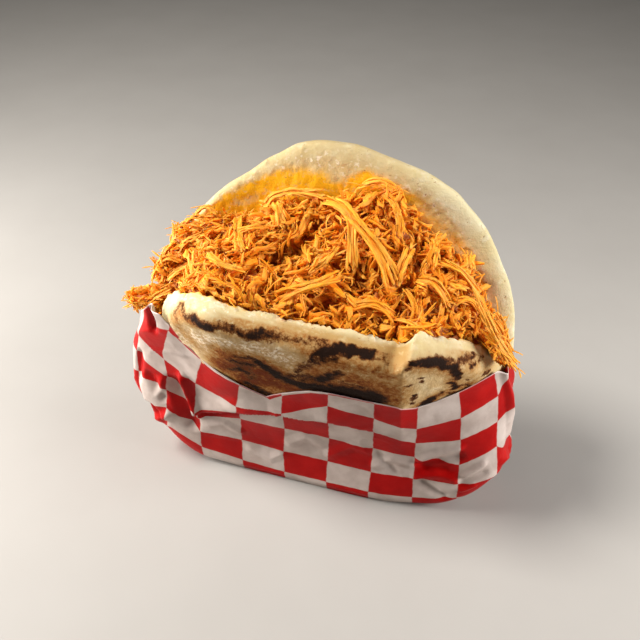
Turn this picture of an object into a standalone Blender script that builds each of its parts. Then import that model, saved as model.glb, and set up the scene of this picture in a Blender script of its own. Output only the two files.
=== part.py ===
"""Shredded chicken arepa: a griddled corn cake standing on edge in a checked paper pouch, slit open from the top
and stuffed with a heap of shredded chicken. Lengths are in millimetres until build_mesh makes them metres.

Frame: X along the cake's width, -Y towards the shorter front leaf, +Z up. The origin is on the table, under the
middle of the object.
"""

import math
import random

import bmesh
import bpy
from mathutils import Vector, noise
from mathutils.bvhtree import BVHTree

MM = 0.001

# The frame's origin in the coordinates that the functions below use
ORIGIN_X = -5.28
ORIGIN_Y = 10.38

# Corn cake: a round disc with a rounded rim, slit down to its hinge and bent open
DISC_X = -2.0
DISC_Z = 47.0
DISC_RADIUS = 48.0
LEAF_THICKNESS = 9.0
RIM_ROUNDING = 8.0
RIM_FULLNESS = 2.3
CAKE_FLOOR = 1.3
FOOT_HEIGHT = 6.0
HINGE_Z = 14.0
HINGE_OVERLAP = 0.6
SLIT_Y = 10.5
FRONT_OPENING = 19.5
BACK_OPENING = 17.0
FRONT_TOP = 69.0
BACK_TOP = 90.0
FRONT_END_CURVE = 8.0
BACK_END_CURVE = 3.5
CREASE_X = 21.0
CREASE_TURN = 0.62
CORNER_BLEND = 13.0
CRUMB_RELIEF = 0.45

# Chicken filling: a core and the shreds that show, fused into one
FILLING_GAP = 1.1
FILLING_BOTTOM = 22.0
FILLING_LEFT = -43.0
FILLING_RIGHT = 39.0
HEAP_RADIUS = 42.5
HEAP_CENTRE_Z = 44.5
HEAP_CROWN = 3.0
SHRED_COUNT = 104
SHRED_SEED = 11
SHRED_CLEARANCE = 0.35
HEAP_UP = Vector((0, -0.45, 0.9)).normalized()

# Paper pouch: thin, flat at its foot, with rounded ends and a notched front edge
PAPER_THICKNESS = 0.6
PAPER_X = -3.2
PAPER_LEFT = 55.2
PAPER_LEFT_TAPER = 4.7
PAPER_RIGHT = 50.6
PAPER_FOOT_LEFT = 37.0
PAPER_FOOT_RIGHT = 35.0
PAPER_LEFT_END_HEIGHT = 26.0
PAPER_RIGHT_END_HEIGHT = 17.0
PAPER_SQUARENESS = 4.5
PAPER_SLACK = 1.4
PAPER_FOOT_SLACK = 2.4
PAPER_END_SLACK = 2.2
PAPER_BACK_TOP = 46.0
PAPER_CRUMPLE = 0.9
PLEAT_RISE = 0.84
PLEAT_DEPTH = 0.8


def smooth(low, high, value):
    """0 at low, 1 at high and an easy curve between them, level beyond."""
    t = min(1.0, max(0.0, (value - low) / (high - low)))
    return t * t * (3 - 2 * t)


def bell(centre, width, value):
    """1 at the centre, falling off to both sides."""
    return math.exp(-(((value - centre) / width) ** 2))


def soft_min(a, b, blend):
    """The smaller of two sizes, with the corner between them rounded."""
    h = max(0.0, blend - abs(a - b)) / blend
    return min(a, b) - h * h * blend / 4


def signed_power(base, exponent):
    """A power that keeps its base's sign."""
    return math.copysign(abs(base) ** exponent, base)


def path_height(x, path):
    """The height of a line through (x, z) stations, level beyond its ends."""
    if x <= path[0][0]:
        return path[0][1]
    for (x0, z0), (x1, z1) in zip(path, path[1:]):
        if x <= x1:
            return z0 + (z1 - z0) * (x - x0) / (x1 - x0)
    return path[-1][1]


def front_inner_y(x, z):
    """The front leaf's pocket face. It leans out, its left end curves back and it turns back at the crease."""
    opening = FRONT_OPENING * signed_power((z - HINGE_Z) / (FRONT_TOP - HINGE_Z), 1.15)
    y = SLIT_Y - max(opening, -HINGE_OVERLAP)
    share = smooth(10, 45, z)
    y += FRONT_END_CURVE * share * smooth(18, 46, DISC_X - x)
    past_crease = max(0.0, x - CREASE_X)
    return y + past_crease * CREASE_TURN * (0.1 + 0.9 * share)


def back_inner_y(x, z):
    """The back leaf's pocket face, which stands taller and leans less."""
    opening = BACK_OPENING * signed_power((z - HINGE_Z) / (BACK_TOP - HINGE_Z), 0.95)
    y = SLIT_Y + max(opening, -HINGE_OVERLAP)
    return y - BACK_END_CURVE * smooth(10, 45, z) * smooth(18, 46, abs(x - DISC_X))


def front_slump(x):
    """How far the front leaf's top lies below FRONT_TOP: it falls to the crease, steps up and falls away."""
    fall = 0.15 * (min(x, CREASE_X) + 32)
    step = 4.6 * smooth(CREASE_X - 3, CREASE_X + 3, x)
    return fall - step + 0.62 * max(0.0, x - CREASE_X - 2)


def outline_radius(angle, front):
    """From the disc's middle to its rim. The back leaf's arch is flatter on its two shoulders."""
    degrees = math.degrees(angle)
    radius = DISC_RADIUS
    if front:
        rise = math.sin(angle)
        if rise > 0.1:
            radius = soft_min(radius, (FRONT_TOP - DISC_Z) / rise, CORNER_BLEND)
        return radius - 3.0 * bell(158, 24, degrees)
    return radius - 2.2 * bell(124, 15, degrees) - 2.9 * bell(74, 19, degrees)


def leaf_thickness(inset):
    """The leaf's thickness at that distance in from its rim: full inside, rounded off on the outer side."""
    if inset >= RIM_ROUNDING:
        return LEAF_THICKNESS
    t = 1 - max(0.0, inset) / RIM_ROUNDING
    return LEAF_THICKNESS * (1 - t**RIM_FULLNESS) ** (1 / RIM_FULLNESS)


def settled_height(x, z, front):
    """Heights once the disc's foot is pressed flat and the front leaf's top has slumped."""
    if z < FOOT_HEIGHT:
        lowest = DISC_Z - DISC_RADIUS
        z = CAKE_FLOOR + (z - lowest) * (FOOT_HEIGHT - CAKE_FLOOR) / (FOOT_HEIGHT - lowest)
    if front:
        z -= front_slump(x) * smooth(30, FRONT_TOP, z)
    return z


def leaf_point(radius_share, angle, front, outside):
    """A point of one leaf: its place on the disc, on its outer face or on its pocket face."""
    rim = outline_radius(angle, front)
    r = rim * radius_share
    x = DISC_X + r * math.cos(angle)
    z = DISC_Z + r * math.sin(angle)
    z = settled_height(x, z, front)
    inner = front_inner_y(x, z) if front else back_inner_y(x, z)
    depth = leaf_thickness(rim - r) if outside else 0.0
    if not outside and z > 40:
        torn = smooth(0.75, 1.0, radius_share)
        depth = CRUMB_RELIEF * (0.5 + torn) * (1 + noise.noise(Vector((x, z, 5.0 if front else 9.0)) / 3.1))
    y = inner - depth if front else inner + depth
    return Vector((x, y, z))


def build_mesh(name, points, faces):
    """An object from points in millimetres, moved to the frame's origin, with its faces turned out."""
    mesh = bpy.data.meshes.new(name)
    moved = [((p[0] - ORIGIN_X) * MM, (p[1] - ORIGIN_Y) * MM, p[2] * MM) for p in points]
    mesh.from_pydata(moved, [], faces)
    shape = bmesh.new()
    shape.from_mesh(mesh)
    bmesh.ops.recalc_face_normals(shape, faces=shape.faces)
    shape.to_mesh(mesh)
    shape.free()
    obj = bpy.data.objects.new(name, mesh)
    bpy.context.scene.collection.objects.link(obj)
    return obj


def band_faces(rings, count, start=0):
    """Quads between neighbouring rings of that many points each."""
    faces = []
    for ring in range(rings - 1):
        for i in range(count):
            j = (i + 1) % count
            a, b = start + ring * count, start + (ring + 1) * count
            faces.append((a + i, a + j, b + j, b + i))
    return faces


def leaf_solid(name, front):
    """One closed leaf: rings from the middle of its outer face, round the rim, to the middle of the pocket face."""
    around = 60
    outer_shares = [0.3, 0.6, 0.8, 0.89, 0.95, 0.985, 1.0]
    inner_shares = [0.965, 0.88, 0.72, 0.5, 0.25]
    points = [leaf_point(0.0, 0.0, front, True)]
    for shares, outside in ((outer_shares, True), (inner_shares, False)):
        for share in shares:
            for i in range(around):
                points.append(leaf_point(share, 2 * math.pi * i / around, front, outside))
    points.append(leaf_point(0.0, 0.0, front, False))
    rings = len(outer_shares) + len(inner_shares)
    faces = band_faces(rings, around, 1)
    last = 1 + (rings - 1) * around
    for i in range(around):
        j = (i + 1) % around
        faces.append((0, 1 + j, 1 + i))
        faces.append((len(points) - 1, last + i, last + j))
    return build_mesh(name, points, faces)


def join_all(target, others):
    """Joins closed solids to the target with one Boolean union, applies it and removes them."""
    group = bpy.data.collections.new(target.name + "_parts")
    bpy.context.scene.collection.children.link(group)
    for obj in others:
        bpy.context.scene.collection.objects.unlink(obj)
        group.objects.link(obj)
    union = target.modifiers.new("join", "BOOLEAN")
    union.operation = "UNION"
    union.operand_type = "COLLECTION"
    union.collection = group
    union.solver = "MANIFOLD"
    bpy.context.view_layer.update()
    graph = bpy.context.evaluated_depsgraph_get()
    mesh = bpy.data.meshes.new_from_object(target.evaluated_get(graph))
    target.modifiers.clear()
    target.data = mesh
    for obj in others:
        bpy.data.objects.remove(obj)
    bpy.data.collections.remove(group)


def keep_main_body(obj):
    """Keeps the largest outward body: sealed hollows are filled and loose scraps dropped."""
    shape = bmesh.new()
    shape.from_mesh(obj.data)
    bmesh.ops.triangulate(shape, faces=shape.faces)
    unseen = set(shape.faces)
    bodies = []
    while unseen:
        seed = unseen.pop()
        body = [seed]
        for face in body:
            for edge in face.edges:
                for other in edge.link_faces:
                    if other in unseen:
                        unseen.remove(other)
                        body.append(other)
        bodies.append(body)
    volumes = [sum(f.verts[0].co.dot(f.verts[1].co.cross(f.verts[2].co)) for f in body) for body in bodies]
    main_body = set(bodies[volumes.index(max(volumes))])
    bmesh.ops.delete(shape, geom=[f for f in shape.faces if f not in main_body], context="FACES")
    shape.to_mesh(obj.data)
    shape.free()


def make_arepa():
    """The two leaves, joined through the hinge at the foot."""
    arepa = leaf_solid("arepa_bread", True)
    back = leaf_solid("back_leaf", False)
    join_all(arepa, [back])
    keep_main_body(arepa)
    return arepa


# Stations (x, z) of the paper's front top edge: left peak, slope, notch, middle, right corner and right end
PAPER_EDGE = [(-54, 46), (-50, 55), (-45.6, 59.5), (-41, 60), (-35, 50), (-30.4, 46), (-22.5, 42.5), (-19, 40.5),
              (-13.7, 36.8), (-9, 40.2), (-2, 43.7), (5, 44.7), (13, 43.4), (20, 42.5), (24.5, 41), (29, 42.2),
              (39.3, 46.9), (43.5, 48.4), (47.4, 46)]


def paper_slack(x, z):
    """The room between the leaves and the paper: more at the foot and towards the two ends."""
    foot = (PAPER_FOOT_SLACK - PAPER_SLACK) * (1 - smooth(4, 25, z))
    return PAPER_SLACK + foot + PAPER_END_SLACK * smooth(26, 48, abs(x - PAPER_X))


def paper_front_y(x, z):
    """The pouch's front wall, whose foot stands out to the right."""
    foot = 2.6 * smooth(-30, 22, x) * (1 - smooth(3, 22, z))
    return front_inner_y(x, z) - LEAF_THICKNESS - paper_slack(x, z) - foot


def paper_back_y(x, z):
    """The pouch's back wall."""
    return back_inner_y(x, z) + LEAF_THICKNESS + paper_slack(x, z)


def pouch_plan(angle):
    """Round the pouch's plan, a boxy ellipse: the share across it and the share of its depth."""
    c = 0.5 * math.cos(angle)
    s = abs(math.sin(angle))
    size = (abs(c) ** PAPER_SQUARENESS + s**PAPER_SQUARENESS) ** (1 / PAPER_SQUARENESS)
    return c / size, s / size


def paper_wall(angle, z):
    """A point of the pouch's outer face at that height, round the pouch by angle."""
    across, depth = pouch_plan(angle)
    lift = min(1.0, z / (PAPER_LEFT_END_HEIGHT if across < 0 else PAPER_RIGHT_END_HEIGHT))
    spread = math.sqrt(1 - (1 - lift) ** 2)
    if across < 0:
        half = PAPER_FOOT_LEFT + (PAPER_LEFT - PAPER_LEFT_TAPER * smooth(30, 58, z) - PAPER_FOOT_LEFT) * spread
    else:
        half = PAPER_FOOT_RIGHT + (PAPER_RIGHT - PAPER_FOOT_RIGHT) * spread
    x = PAPER_X + half * across
    middle = SLIT_Y + 0.1 * (z - HINGE_Z) * smooth(10, 40, z)
    front = math.sin(angle) < 0
    wall = paper_front_y(x, z) if front else paper_back_y(x, z)
    y = middle + (wall - middle) * depth
    inset = 0.9 * (1 - smooth(0, 2.5, z)) * depth
    return Vector((x, y + inset if front else y - inset, z))


def paper_top(angle):
    """The height of the paper's top edge: cut as the stations say in front, level behind."""
    across, depth = pouch_plan(angle)
    if math.sin(angle) < 0:
        reach = PAPER_LEFT - PAPER_LEFT_TAPER if across < 0 else PAPER_RIGHT
        return path_height(PAPER_X + reach * across, PAPER_EDGE)
    end_top = PAPER_EDGE[0][1] if across < 0 else PAPER_EDGE[-1][1]
    return end_top + (PAPER_BACK_TOP - end_top) * smooth(0.0, 0.6, depth)


def make_paper():
    """The pouch as a closed thin shell: an outer face, an inner face a paper's thickness inside, and a top edge."""
    around = 60
    rises = [0.0, 0.03, 0.08, 0.17, 0.3, 0.44, 0.58, 0.72, 0.84, 0.88, 1.0]
    outer = []
    for rise in rises:
        ring = []
        for i in range(around):
            angle = 2 * math.pi * (i + 0.5) / around
            ring.append(paper_wall(angle, paper_top(angle) * rise))
        outer.append(ring)
    inner = []
    for row, ring in enumerate(outer):
        above = outer[min(row + 1, len(outer) - 1)]
        below = outer[max(row - 1, 0)]
        inner_ring = []
        for i in range(around):
            along = ring[(i + 1) % around] - ring[i - 1]
            up = above[i] - below[i]
            normal = along.cross(up).normalized()
            crumple = PAPER_CRUMPLE * noise.noise(ring[i] / 8.0) * smooth(0.0, 0.1, rises[row])
            if rises[row] == PLEAT_RISE and normal.y < -0.5:
                crumple += PLEAT_DEPTH * smooth(-44, -34, ring[i].x) * smooth(26, 10, ring[i].x)
            inner_ring.append((ring[i], normal, crumple))
        inner.append(inner_ring)
    points = []
    for ring in inner:
        for point, normal, crumple in ring:
            points.append(point + normal * max(0.0, crumple))
    for ring in reversed(inner):
        for point, normal, crumple in ring:
            points.append(point + normal * (max(0.0, crumple) - PAPER_THICKNESS))
    for i in range(around):
        last = len(points) - around + i
        points[last] = Vector((points[last].x, points[last].y, PAPER_THICKNESS))
    faces = band_faces(2 * len(rises), around)
    foot = len(points)
    points.append(Vector((PAPER_X, SLIT_Y, 0.0)))
    points.append(Vector((PAPER_X, SLIT_Y, PAPER_THICKNESS)))
    last = (2 * len(rises) - 1) * around
    for i in range(around):
        j = (i + 1) % around
        faces.append((foot, j, i))
        faces.append((foot + 1, last + i, last + j))
    return build_mesh("paper_wrap", points, faces)


def heap_point(x, share):
    """A point on the heap's top: across from the front leaf's rim (0) to the back leaf (1)."""
    front_z = FRONT_TOP - front_slump(x) - 0.8
    front_z -= 12 * smooth(-34, -46, x)
    reach = max(0.0, HEAP_RADIUS**2 - (x - DISC_X) ** 2)
    back_z = HEAP_CENTRE_Z + math.sqrt(reach)
    front_y = front_inner_y(x, front_z) + FILLING_GAP
    back_y = back_inner_y(x, back_z) - FILLING_GAP
    crown = HEAP_CROWN * 4 * share * (1 - share)
    return Vector((x, front_y + (back_y - front_y) * share, front_z + (back_z - front_z) * share + crown))


def make_core():
    """The filling down in the pocket: slices along X, each between the leaves and under the heap's top."""
    slices = 18
    top_steps = 7
    side_steps = 4
    points = []
    for k in range(slices + 1):
        x = FILLING_LEFT + (FILLING_RIGHT - FILLING_LEFT) * k / slices
        ring = []
        for i in range(top_steps + 1):
            point = heap_point(x, i / top_steps)
            ring.append(point - Vector((0, 0, 1.2)))
        depth_share = math.sqrt(max(0.0, 1 - ((x - DISC_X) / 47.0) ** 2))
        bottom = DISC_Z + 6 - (DISC_Z + 6 - FILLING_BOTTOM) * depth_share
        for i in range(1, side_steps + 1):
            z = ring[top_steps].z + (bottom - ring[top_steps].z) * i / side_steps
            ring.append(Vector((x, back_inner_y(x, z) - FILLING_GAP, z)))
        for i in range(side_steps, 0, -1):
            z = ring[0].z + (bottom - ring[0].z) * i / side_steps
            ring.append(Vector((x, front_inner_y(x, z) + FILLING_GAP, z)))
        points += ring
    count = top_steps + 1 + 2 * side_steps
    faces = band_faces(slices + 1, count)
    faces.append(tuple(range(count)))
    faces.append(tuple(slices * count + i for i in reversed(range(count))))
    return build_mesh("shredded_chicken", points, faces)


# Long bundles that stand out: x, share across the heap, heading, length, width and rise
BUNDLES = [
    (1, 0.74, (0.45, -0.9, 0), 27, 4.0, 2.4),
    (12, 0.42, (0.2, -1, 0), 17, 3.4, 2.4),
    (-13, 0.26, (0.9, 0.55, 0), 18, 3.4, 2.2),
    (-19, 0.88, (1, -0.1, 0), 19, 3.0, 2.4),
    (33, 0.66, (0.1, -1, 0), 15, 3.0, 2.2),
    (33, 0.42, (0.9, -0.5, 0), 13, 2.8, 2.2),
    (-32, 0.5, (0.9, 0.4, 0), 14, 2.8, 2.0),
    (21, 0.78, (0.3, -1, 0), 15, 2.8, 2.2),
    (-6, 0.62, (0.8, 0.5, 0), 13, 2.6, 1.8),
    (20, 0.2, (0.6, 0.8, 0), 12, 2.8, 1.8),
]

# Shreds that spill over the two ends of the pocket: both ends of each, and its width
SPILLS = [
    ((-36, 10, 64), (-57.5, 5, 56.5), 3.0),
    ((-37, 7, 62), (-55.5, 3, 58), 3.2),
    ((-36, 13, 66), (-54, 8, 60), 2.8),
    ((-35, 15, 69), (-49, 12, 66), 2.6),
    ((-36, 4, 63), (-52, 1, 60), 2.6),
    ((-42, 11, 62), (-56, 6, 55), 2.6),
    ((-44, 9, 61), (-58, 7, 58), 2.4),
    ((38, 11, 58), (46, 3, 50), 2.4),
    ((36, 8, 62), (47, 6, 53), 2.2),
    ((35, 14, 66), (43, 11, 57), 2.4),
]


def shred_solid(line, width, depth):
    """A closed shred of four sides along a centre line, narrower at its ends."""
    points = []
    last = len(line) - 1
    for k, centre in enumerate(line):
        ahead = line[min(k + 1, last)] - line[max(k - 1, 0)]
        side = ahead.cross(HEAP_UP).normalized() * (width / 2)
        over = side.cross(ahead).normalized() * (depth / 2)
        taper = 0.55 if k in (0, last) else 1.0
        for a, b in ((1, 0.3), (-0.2, 1), (-1, -0.3), (0.2, -1)):
            points.append(centre + (side * a + over * b) * taper)
    faces = band_faces(len(line), 4)
    faces.append((0, 1, 2, 3))
    faces.append(tuple(4 * last + i for i in (3, 2, 1, 0)))
    return build_mesh("shred", points, faces)


def arched_line(middle, heading, length, rise, bend):
    """A shred's centre line through its middle: arched off the heap, with its ends tucked in, and bent sideways."""
    heading = (heading - HEAP_UP * heading.dot(HEAP_UP)).normalized()
    sideways = heading.cross(HEAP_UP)
    count = 5 if length > 14 else 3
    line = []
    for k in range(count):
        t = 2 * k / (count - 1) - 1
        arch = HEAP_UP * rise * (1 - 1.7 * t * t)
        line.append(middle + heading * t * length / 2 + arch + sideways * bend * (t * t - 0.4))
    return line


def planned_shreds():
    """Centre lines and widths: the long bundles and the spills first, then many smaller shreds, evenly spread."""
    rng = random.Random(SHRED_SEED)
    plan = []
    for x, share, heading, length, width, rise in BUNDLES:
        plan.append((arched_line(heap_point(x, share), Vector(heading), length, rise, 1.5), width))
    for first, second, width in SPILLS:
        first, second = Vector(first), Vector(second)
        middle = (first + second) / 2 + Vector((0, 0, 1.5))
        plan.append(([first, middle, second], width))
    for number in range(SHRED_COUNT):
        size = 1 - number / SHRED_COUNT
        x = FILLING_LEFT - 3 + (FILLING_RIGHT - FILLING_LEFT + 4) * ((number * 0.618034) % 1.0)
        share = 0.02 + 0.94 * ((number * 0.754878 + 0.3) % 1.0)
        turn = rng.uniform(0, 2 * math.pi)
        heading = Vector((math.cos(turn), math.sin(turn), rng.uniform(-0.2, 0.5)))
        length = 6 + 11 * size * rng.uniform(0.6, 1.1)
        line = arched_line(heap_point(x, share), heading, length, rng.uniform(0.3, 1.8), rng.uniform(-2.5, 2.5))
        plan.append((line, 1.5 + 1.6 * size * rng.random()))
    return plan


def surface_tree(obj):
    """A search tree over an object's faces."""
    mesh = obj.data
    return BVHTree.FromPolygons([v.co.copy() for v in mesh.vertices], [tuple(p.vertices) for p in mesh.polygons])


def is_inside(point, tree):
    """Whether a point lies inside a closed surface, by counting the faces above it."""
    crossings = 0
    hit = tree.ray_cast(point, Vector((0, 0, 1)))[0]
    while hit is not None:
        crossings += 1
        hit = tree.ray_cast(hit + Vector((0, 0, 1e-6)), Vector((0, 0, 1)))[0]
    return crossings % 2 == 1


def is_clear(shred, others):
    """Whether a shred keeps its distance from the bread and the paper."""
    tree = surface_tree(shred)
    for other in others:
        if tree.overlap(other) or is_inside(shred.data.vertices[0].co, other):
            return False
        for vertex in shred.data.vertices:
            if other.find_nearest(vertex.co)[3] < SHRED_CLEARANCE * MM:
                return False
    return True


def make_filling(arepa, paper):
    """The core with every shred that clears the bread and the paper fused on."""
    core = make_core()
    others = [surface_tree(arepa), surface_tree(paper)]
    shreds = []
    for line, width in planned_shreds():
        shred = shred_solid(line, width, width * 0.75)
        if is_clear(shred, others):
            shreds.append(shred)
        else:
            bpy.data.objects.remove(shred)
    join_all(core, shreds)
    keep_main_body(core)
    return core


def shade_round(obj, corner):
    """Smooth shading, apart from edges sharper than that corner in degrees."""
    obj.data.shade_smooth()
    obj.data.set_sharp_from_angle(angle=math.radians(corner))


def give_material(obj, name, colour, roughness):
    """One plain material of the object's own."""
    material = bpy.data.materials.new(name)
    material.use_nodes = True
    shader = material.node_tree.nodes["Principled BSDF"]
    shader.inputs["Base Color"].default_value = (*colour, 1)
    shader.inputs["Roughness"].default_value = roughness
    obj.data.materials.clear()
    obj.data.materials.append(material)


def main():
    for obj in list(bpy.data.objects):
        bpy.data.objects.remove(obj)
    arepa = make_arepa()
    paper = make_paper()
    filling = make_filling(arepa, paper)
    shade_round(arepa, 50)
    shade_round(paper, 40)
    shade_round(filling, 70)
    give_material(arepa, "griddled_corn_dough", (0.8, 0.66, 0.42), 0.8)
    give_material(paper, "checked_paper", (0.75, 0.08, 0.05), 0.45)
    give_material(filling, "stewed_chicken", (0.85, 0.36, 0.06), 0.6)


main()
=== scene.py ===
"""The looks of a shredded chicken arepa in its checked paper pouch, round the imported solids.

Shapes are worked out in millimetres in the same drawing coordinates as the solids: X along the corn cake's
width, -Y towards the short front leaf, +Z up. to_frame turns them into metres in the object's frame.
"""

import math
import random

import bmesh
import bpy
import numpy as np
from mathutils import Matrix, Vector, noise


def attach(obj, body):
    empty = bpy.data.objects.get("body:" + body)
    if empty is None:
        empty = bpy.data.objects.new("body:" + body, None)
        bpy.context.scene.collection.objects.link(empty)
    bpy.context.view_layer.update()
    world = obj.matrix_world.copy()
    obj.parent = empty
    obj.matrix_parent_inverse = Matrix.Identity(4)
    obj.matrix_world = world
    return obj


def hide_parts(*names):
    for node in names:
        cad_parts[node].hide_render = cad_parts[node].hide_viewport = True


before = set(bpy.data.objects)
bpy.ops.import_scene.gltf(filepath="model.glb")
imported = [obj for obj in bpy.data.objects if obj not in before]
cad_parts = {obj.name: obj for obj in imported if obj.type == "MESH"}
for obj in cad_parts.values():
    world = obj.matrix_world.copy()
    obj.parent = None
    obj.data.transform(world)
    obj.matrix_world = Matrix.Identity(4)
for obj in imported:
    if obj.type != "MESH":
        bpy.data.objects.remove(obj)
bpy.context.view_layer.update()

MM = 0.001
HALF_TURN = 3.1416

# Where the object's frame lies in the drawing coordinates
ORIGIN_X = -5.28
ORIGIN_Y = 10.38

# Corn cake
DISC_X = -2.0
DISC_Z = 47.0
DISC_RADIUS = 48.0
LEAF_THICKNESS = 9.0
RIM_ROUNDING = 8.0
RIM_FULLNESS = 2.3
CAKE_FLOOR = 1.3
FOOT_HEIGHT = 6.0
HINGE_Z = 14.0
HINGE_OVERLAP = 0.6
SLIT_Y = 10.5
FRONT_OPENING = 19.5
BACK_OPENING = 17.0
FRONT_TOP = 69.0
BACK_TOP = 90.0
FRONT_END_CURVE = 8.0
BACK_END_CURVE = 3.5
CREASE_X = 21.0
CREASE_TURN = 0.62
CORNER_BLEND = 13.0
FRONT_LIP_REACH = 0.7
FRONT_LIP_HEIGHT = 0.35
BACK_LIP_HEIGHT = 1.9

# Chicken filling
FILLING_GAP = 1.1
HEAP_CROWN = 3.0
FILLING_LEFT = -43.0
FILLING_RIGHT = 37.0
CORE_RADIUS = 47.0
CORE_END_Z = 53.0
CORE_FOOT_Z = 22.0
SKIN_GAP = 0.8
SHRED_GAP = 0.45
SHRED_ARCH = 46.5
SHEET_FOOT_Z = 44.0
SHEET_BACK_SHARE = 0.98
SHEET_LIFT = 0.2
SHARP_ANGLE = 68

# Paper pouch
PAPER_X = -3.2
PAPER_LEFT = 55.2
PAPER_LEFT_TAPER = 4.7
PAPER_RIGHT = 51.0
PAPER_FOOT_LEFT = 34.0
PAPER_FOOT_RIGHT = 33.0
PAPER_LEFT_END_HEIGHT = 26.0
PAPER_RIGHT_END_HEIGHT = 13.5
PAPER_SQUARENESS = 4.5
PAPER_SLACK = 1.4
PAPER_FOOT_SLACK = 2.4
PAPER_END_SLACK = 2.2
PAPER_BACK_TOP = 46.0
SHEET_THICKNESS = 0.16
CHECK_WIDTH = 12.5
CHECK_COUNT = 20
BACK_ROW_HEIGHT = 10.0

# Points round the pouch, and the rows of points up its wall
PAPER_AROUND = 560
PAPER_ROWS = 84

# Points along and across the core, down each of its sides, and round and along a lump
CORE_SLICES = 110
CORE_ACROSS = 60
CORE_DOWN = 8
CLUMP_AROUND = 24
CLUMP_RINGS = 15

# Points along and across the scatter's sheet, and across and down each of its ends
SHEET_SLICES = 70
SHEET_ACROSS = 40
SHEET_END_ACROSS = 14
SHEET_END_DOWN = 12

# Steps along a bundle, for the strands that part from it
BUNDLE_STEPS = 8


def smooth(low, high, value):
    """0 at low, 1 at high and an easy curve between them, level beyond."""
    t = np.clip((value - low) / (high - low), 0.0, 1.0)
    return t * t * (3 - 2 * t)


def bell(centre, width, value):
    """1 at the centre, falling off to both sides."""
    return np.exp(-(((value - centre) / width) ** 2))


def soft_min(a, b, blend):
    """The smaller of two sizes, with the corner between them rounded."""
    h = np.maximum(0.0, blend - np.abs(a - b)) / blend
    return np.minimum(a, b) - h * h * blend / 4


def signed_power(base, exponent):
    """A power that keeps its base's sign."""
    return np.sign(base) * np.abs(base) ** exponent


def along(stations, x):
    """Heights of a line through (x, z) stations, level beyond its ends."""
    return np.interp(x, [s[0] for s in stations], [s[1] for s in stations])


def distance_to(x, z, line):
    """How far each point lies from a line through (x, z) points."""
    nearest = np.full(np.shape(x), 1e9)
    for (x0, z0), (x1, z1) in zip(line, line[1:]):
        dx, dz = x1 - x0, z1 - z0
        t = np.clip(((x - x0) * dx + (z - z0) * dz) / (dx * dx + dz * dz), 0, 1)
        nearest = np.minimum(nearest, np.hypot(x - x0 - t * dx, z - z0 - t * dz))
    return nearest


def near_line(x, z, line, width, softness):
    """1 on a painted line through (x, z) points, fading out at its width."""
    return 1 - smooth(width - softness, width + softness, distance_to(x, z, line))


def ridge_along(x, z, line, width):
    """1 on a crisp fold through (x, z) points, falling in a straight slope to 0 at its width."""
    return np.maximum(0.0, 1 - distance_to(x, z, line) / width)


def lumps(points, size, seed=0.0):
    """Smooth noise from about -1 to 1 at each point, with lumps about that many millimetres across."""
    shift = 13.7 * seed
    return np.array([noise.noise(Vector((p[0] / size + shift, p[1] / size, p[2] / size))) for p in points])


# The two leaves of the corn cake


def front_inner_y(x, z):
    """The front leaf's pocket face."""
    opening = FRONT_OPENING * signed_power((z - HINGE_Z) / (FRONT_TOP - HINGE_Z), 1.15)
    y = SLIT_Y - np.maximum(opening, -HINGE_OVERLAP)
    share = smooth(10, 45, z)
    y = y + FRONT_END_CURVE * share * smooth(18, 46, DISC_X - x)
    return y + np.maximum(0.0, x - CREASE_X) * CREASE_TURN * (0.1 + 0.9 * share)


def back_inner_y(x, z):
    """The back leaf's pocket face."""
    opening = BACK_OPENING * signed_power((z - HINGE_Z) / (BACK_TOP - HINGE_Z), 0.95)
    y = SLIT_Y + np.maximum(opening, -HINGE_OVERLAP)
    return y - BACK_END_CURVE * smooth(10, 45, z) * smooth(18, 46, np.abs(x - DISC_X))


def front_slump(x):
    """How far the front leaf's top lies below FRONT_TOP."""
    fall = 0.15 * (np.minimum(x, CREASE_X) + 32)
    step = 4.6 * smooth(CREASE_X - 3, CREASE_X + 3, x)
    slope = 0.62 * np.maximum(0.0, x - CREASE_X - 2) + 0.012 * np.maximum(0.0, x - 30) ** 2
    slope = slope + 0.6 * np.maximum(0.0, -31 - x)
    return fall - step + slope - 1.5 * bell(-24.5, 5.5, x)


def outline_radius(angle, front):
    """From the disc's middle to its rim."""
    degrees = np.degrees(angle) % 360
    radius = np.full(np.shape(angle), DISC_RADIUS)
    if front:
        rise = np.maximum(np.sin(angle), 0.1)
        radius = soft_min(radius, (FRONT_TOP - DISC_Z) / rise, CORNER_BLEND)
        return radius - 4.0 * bell(160, 24, degrees) + 0.5 * bell(20, 7, degrees)
    # The back leaf's top is a little flatter than a circle, with two slight hollows
    radius = radius - (0.9 - 0.5 * np.cos(angle)) * smooth(0.0, 0.5, np.sin(angle))
    return radius - 2.2 * bell(124, 15, degrees) - 2.4 * bell(74, 19, degrees)


def settled_height(x, z, front):
    """Heights once the disc's foot is pressed flat and the front leaf's top has slumped."""
    lowest = DISC_Z - DISC_RADIUS
    pressed = CAKE_FLOOR + (z - lowest) * (FOOT_HEIGHT - CAKE_FLOOR) / (FOOT_HEIGHT - lowest)
    z = np.where(z < FOOT_HEIGHT, pressed, z)
    if front:
        z = z - front_slump(x) * smooth(30, FRONT_TOP, z)
    return z


def front_rim_z(x):
    """The height of the front leaf's top edge."""
    return FRONT_TOP - front_slump(x) - 12 * smooth(-34, -46, x)


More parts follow.
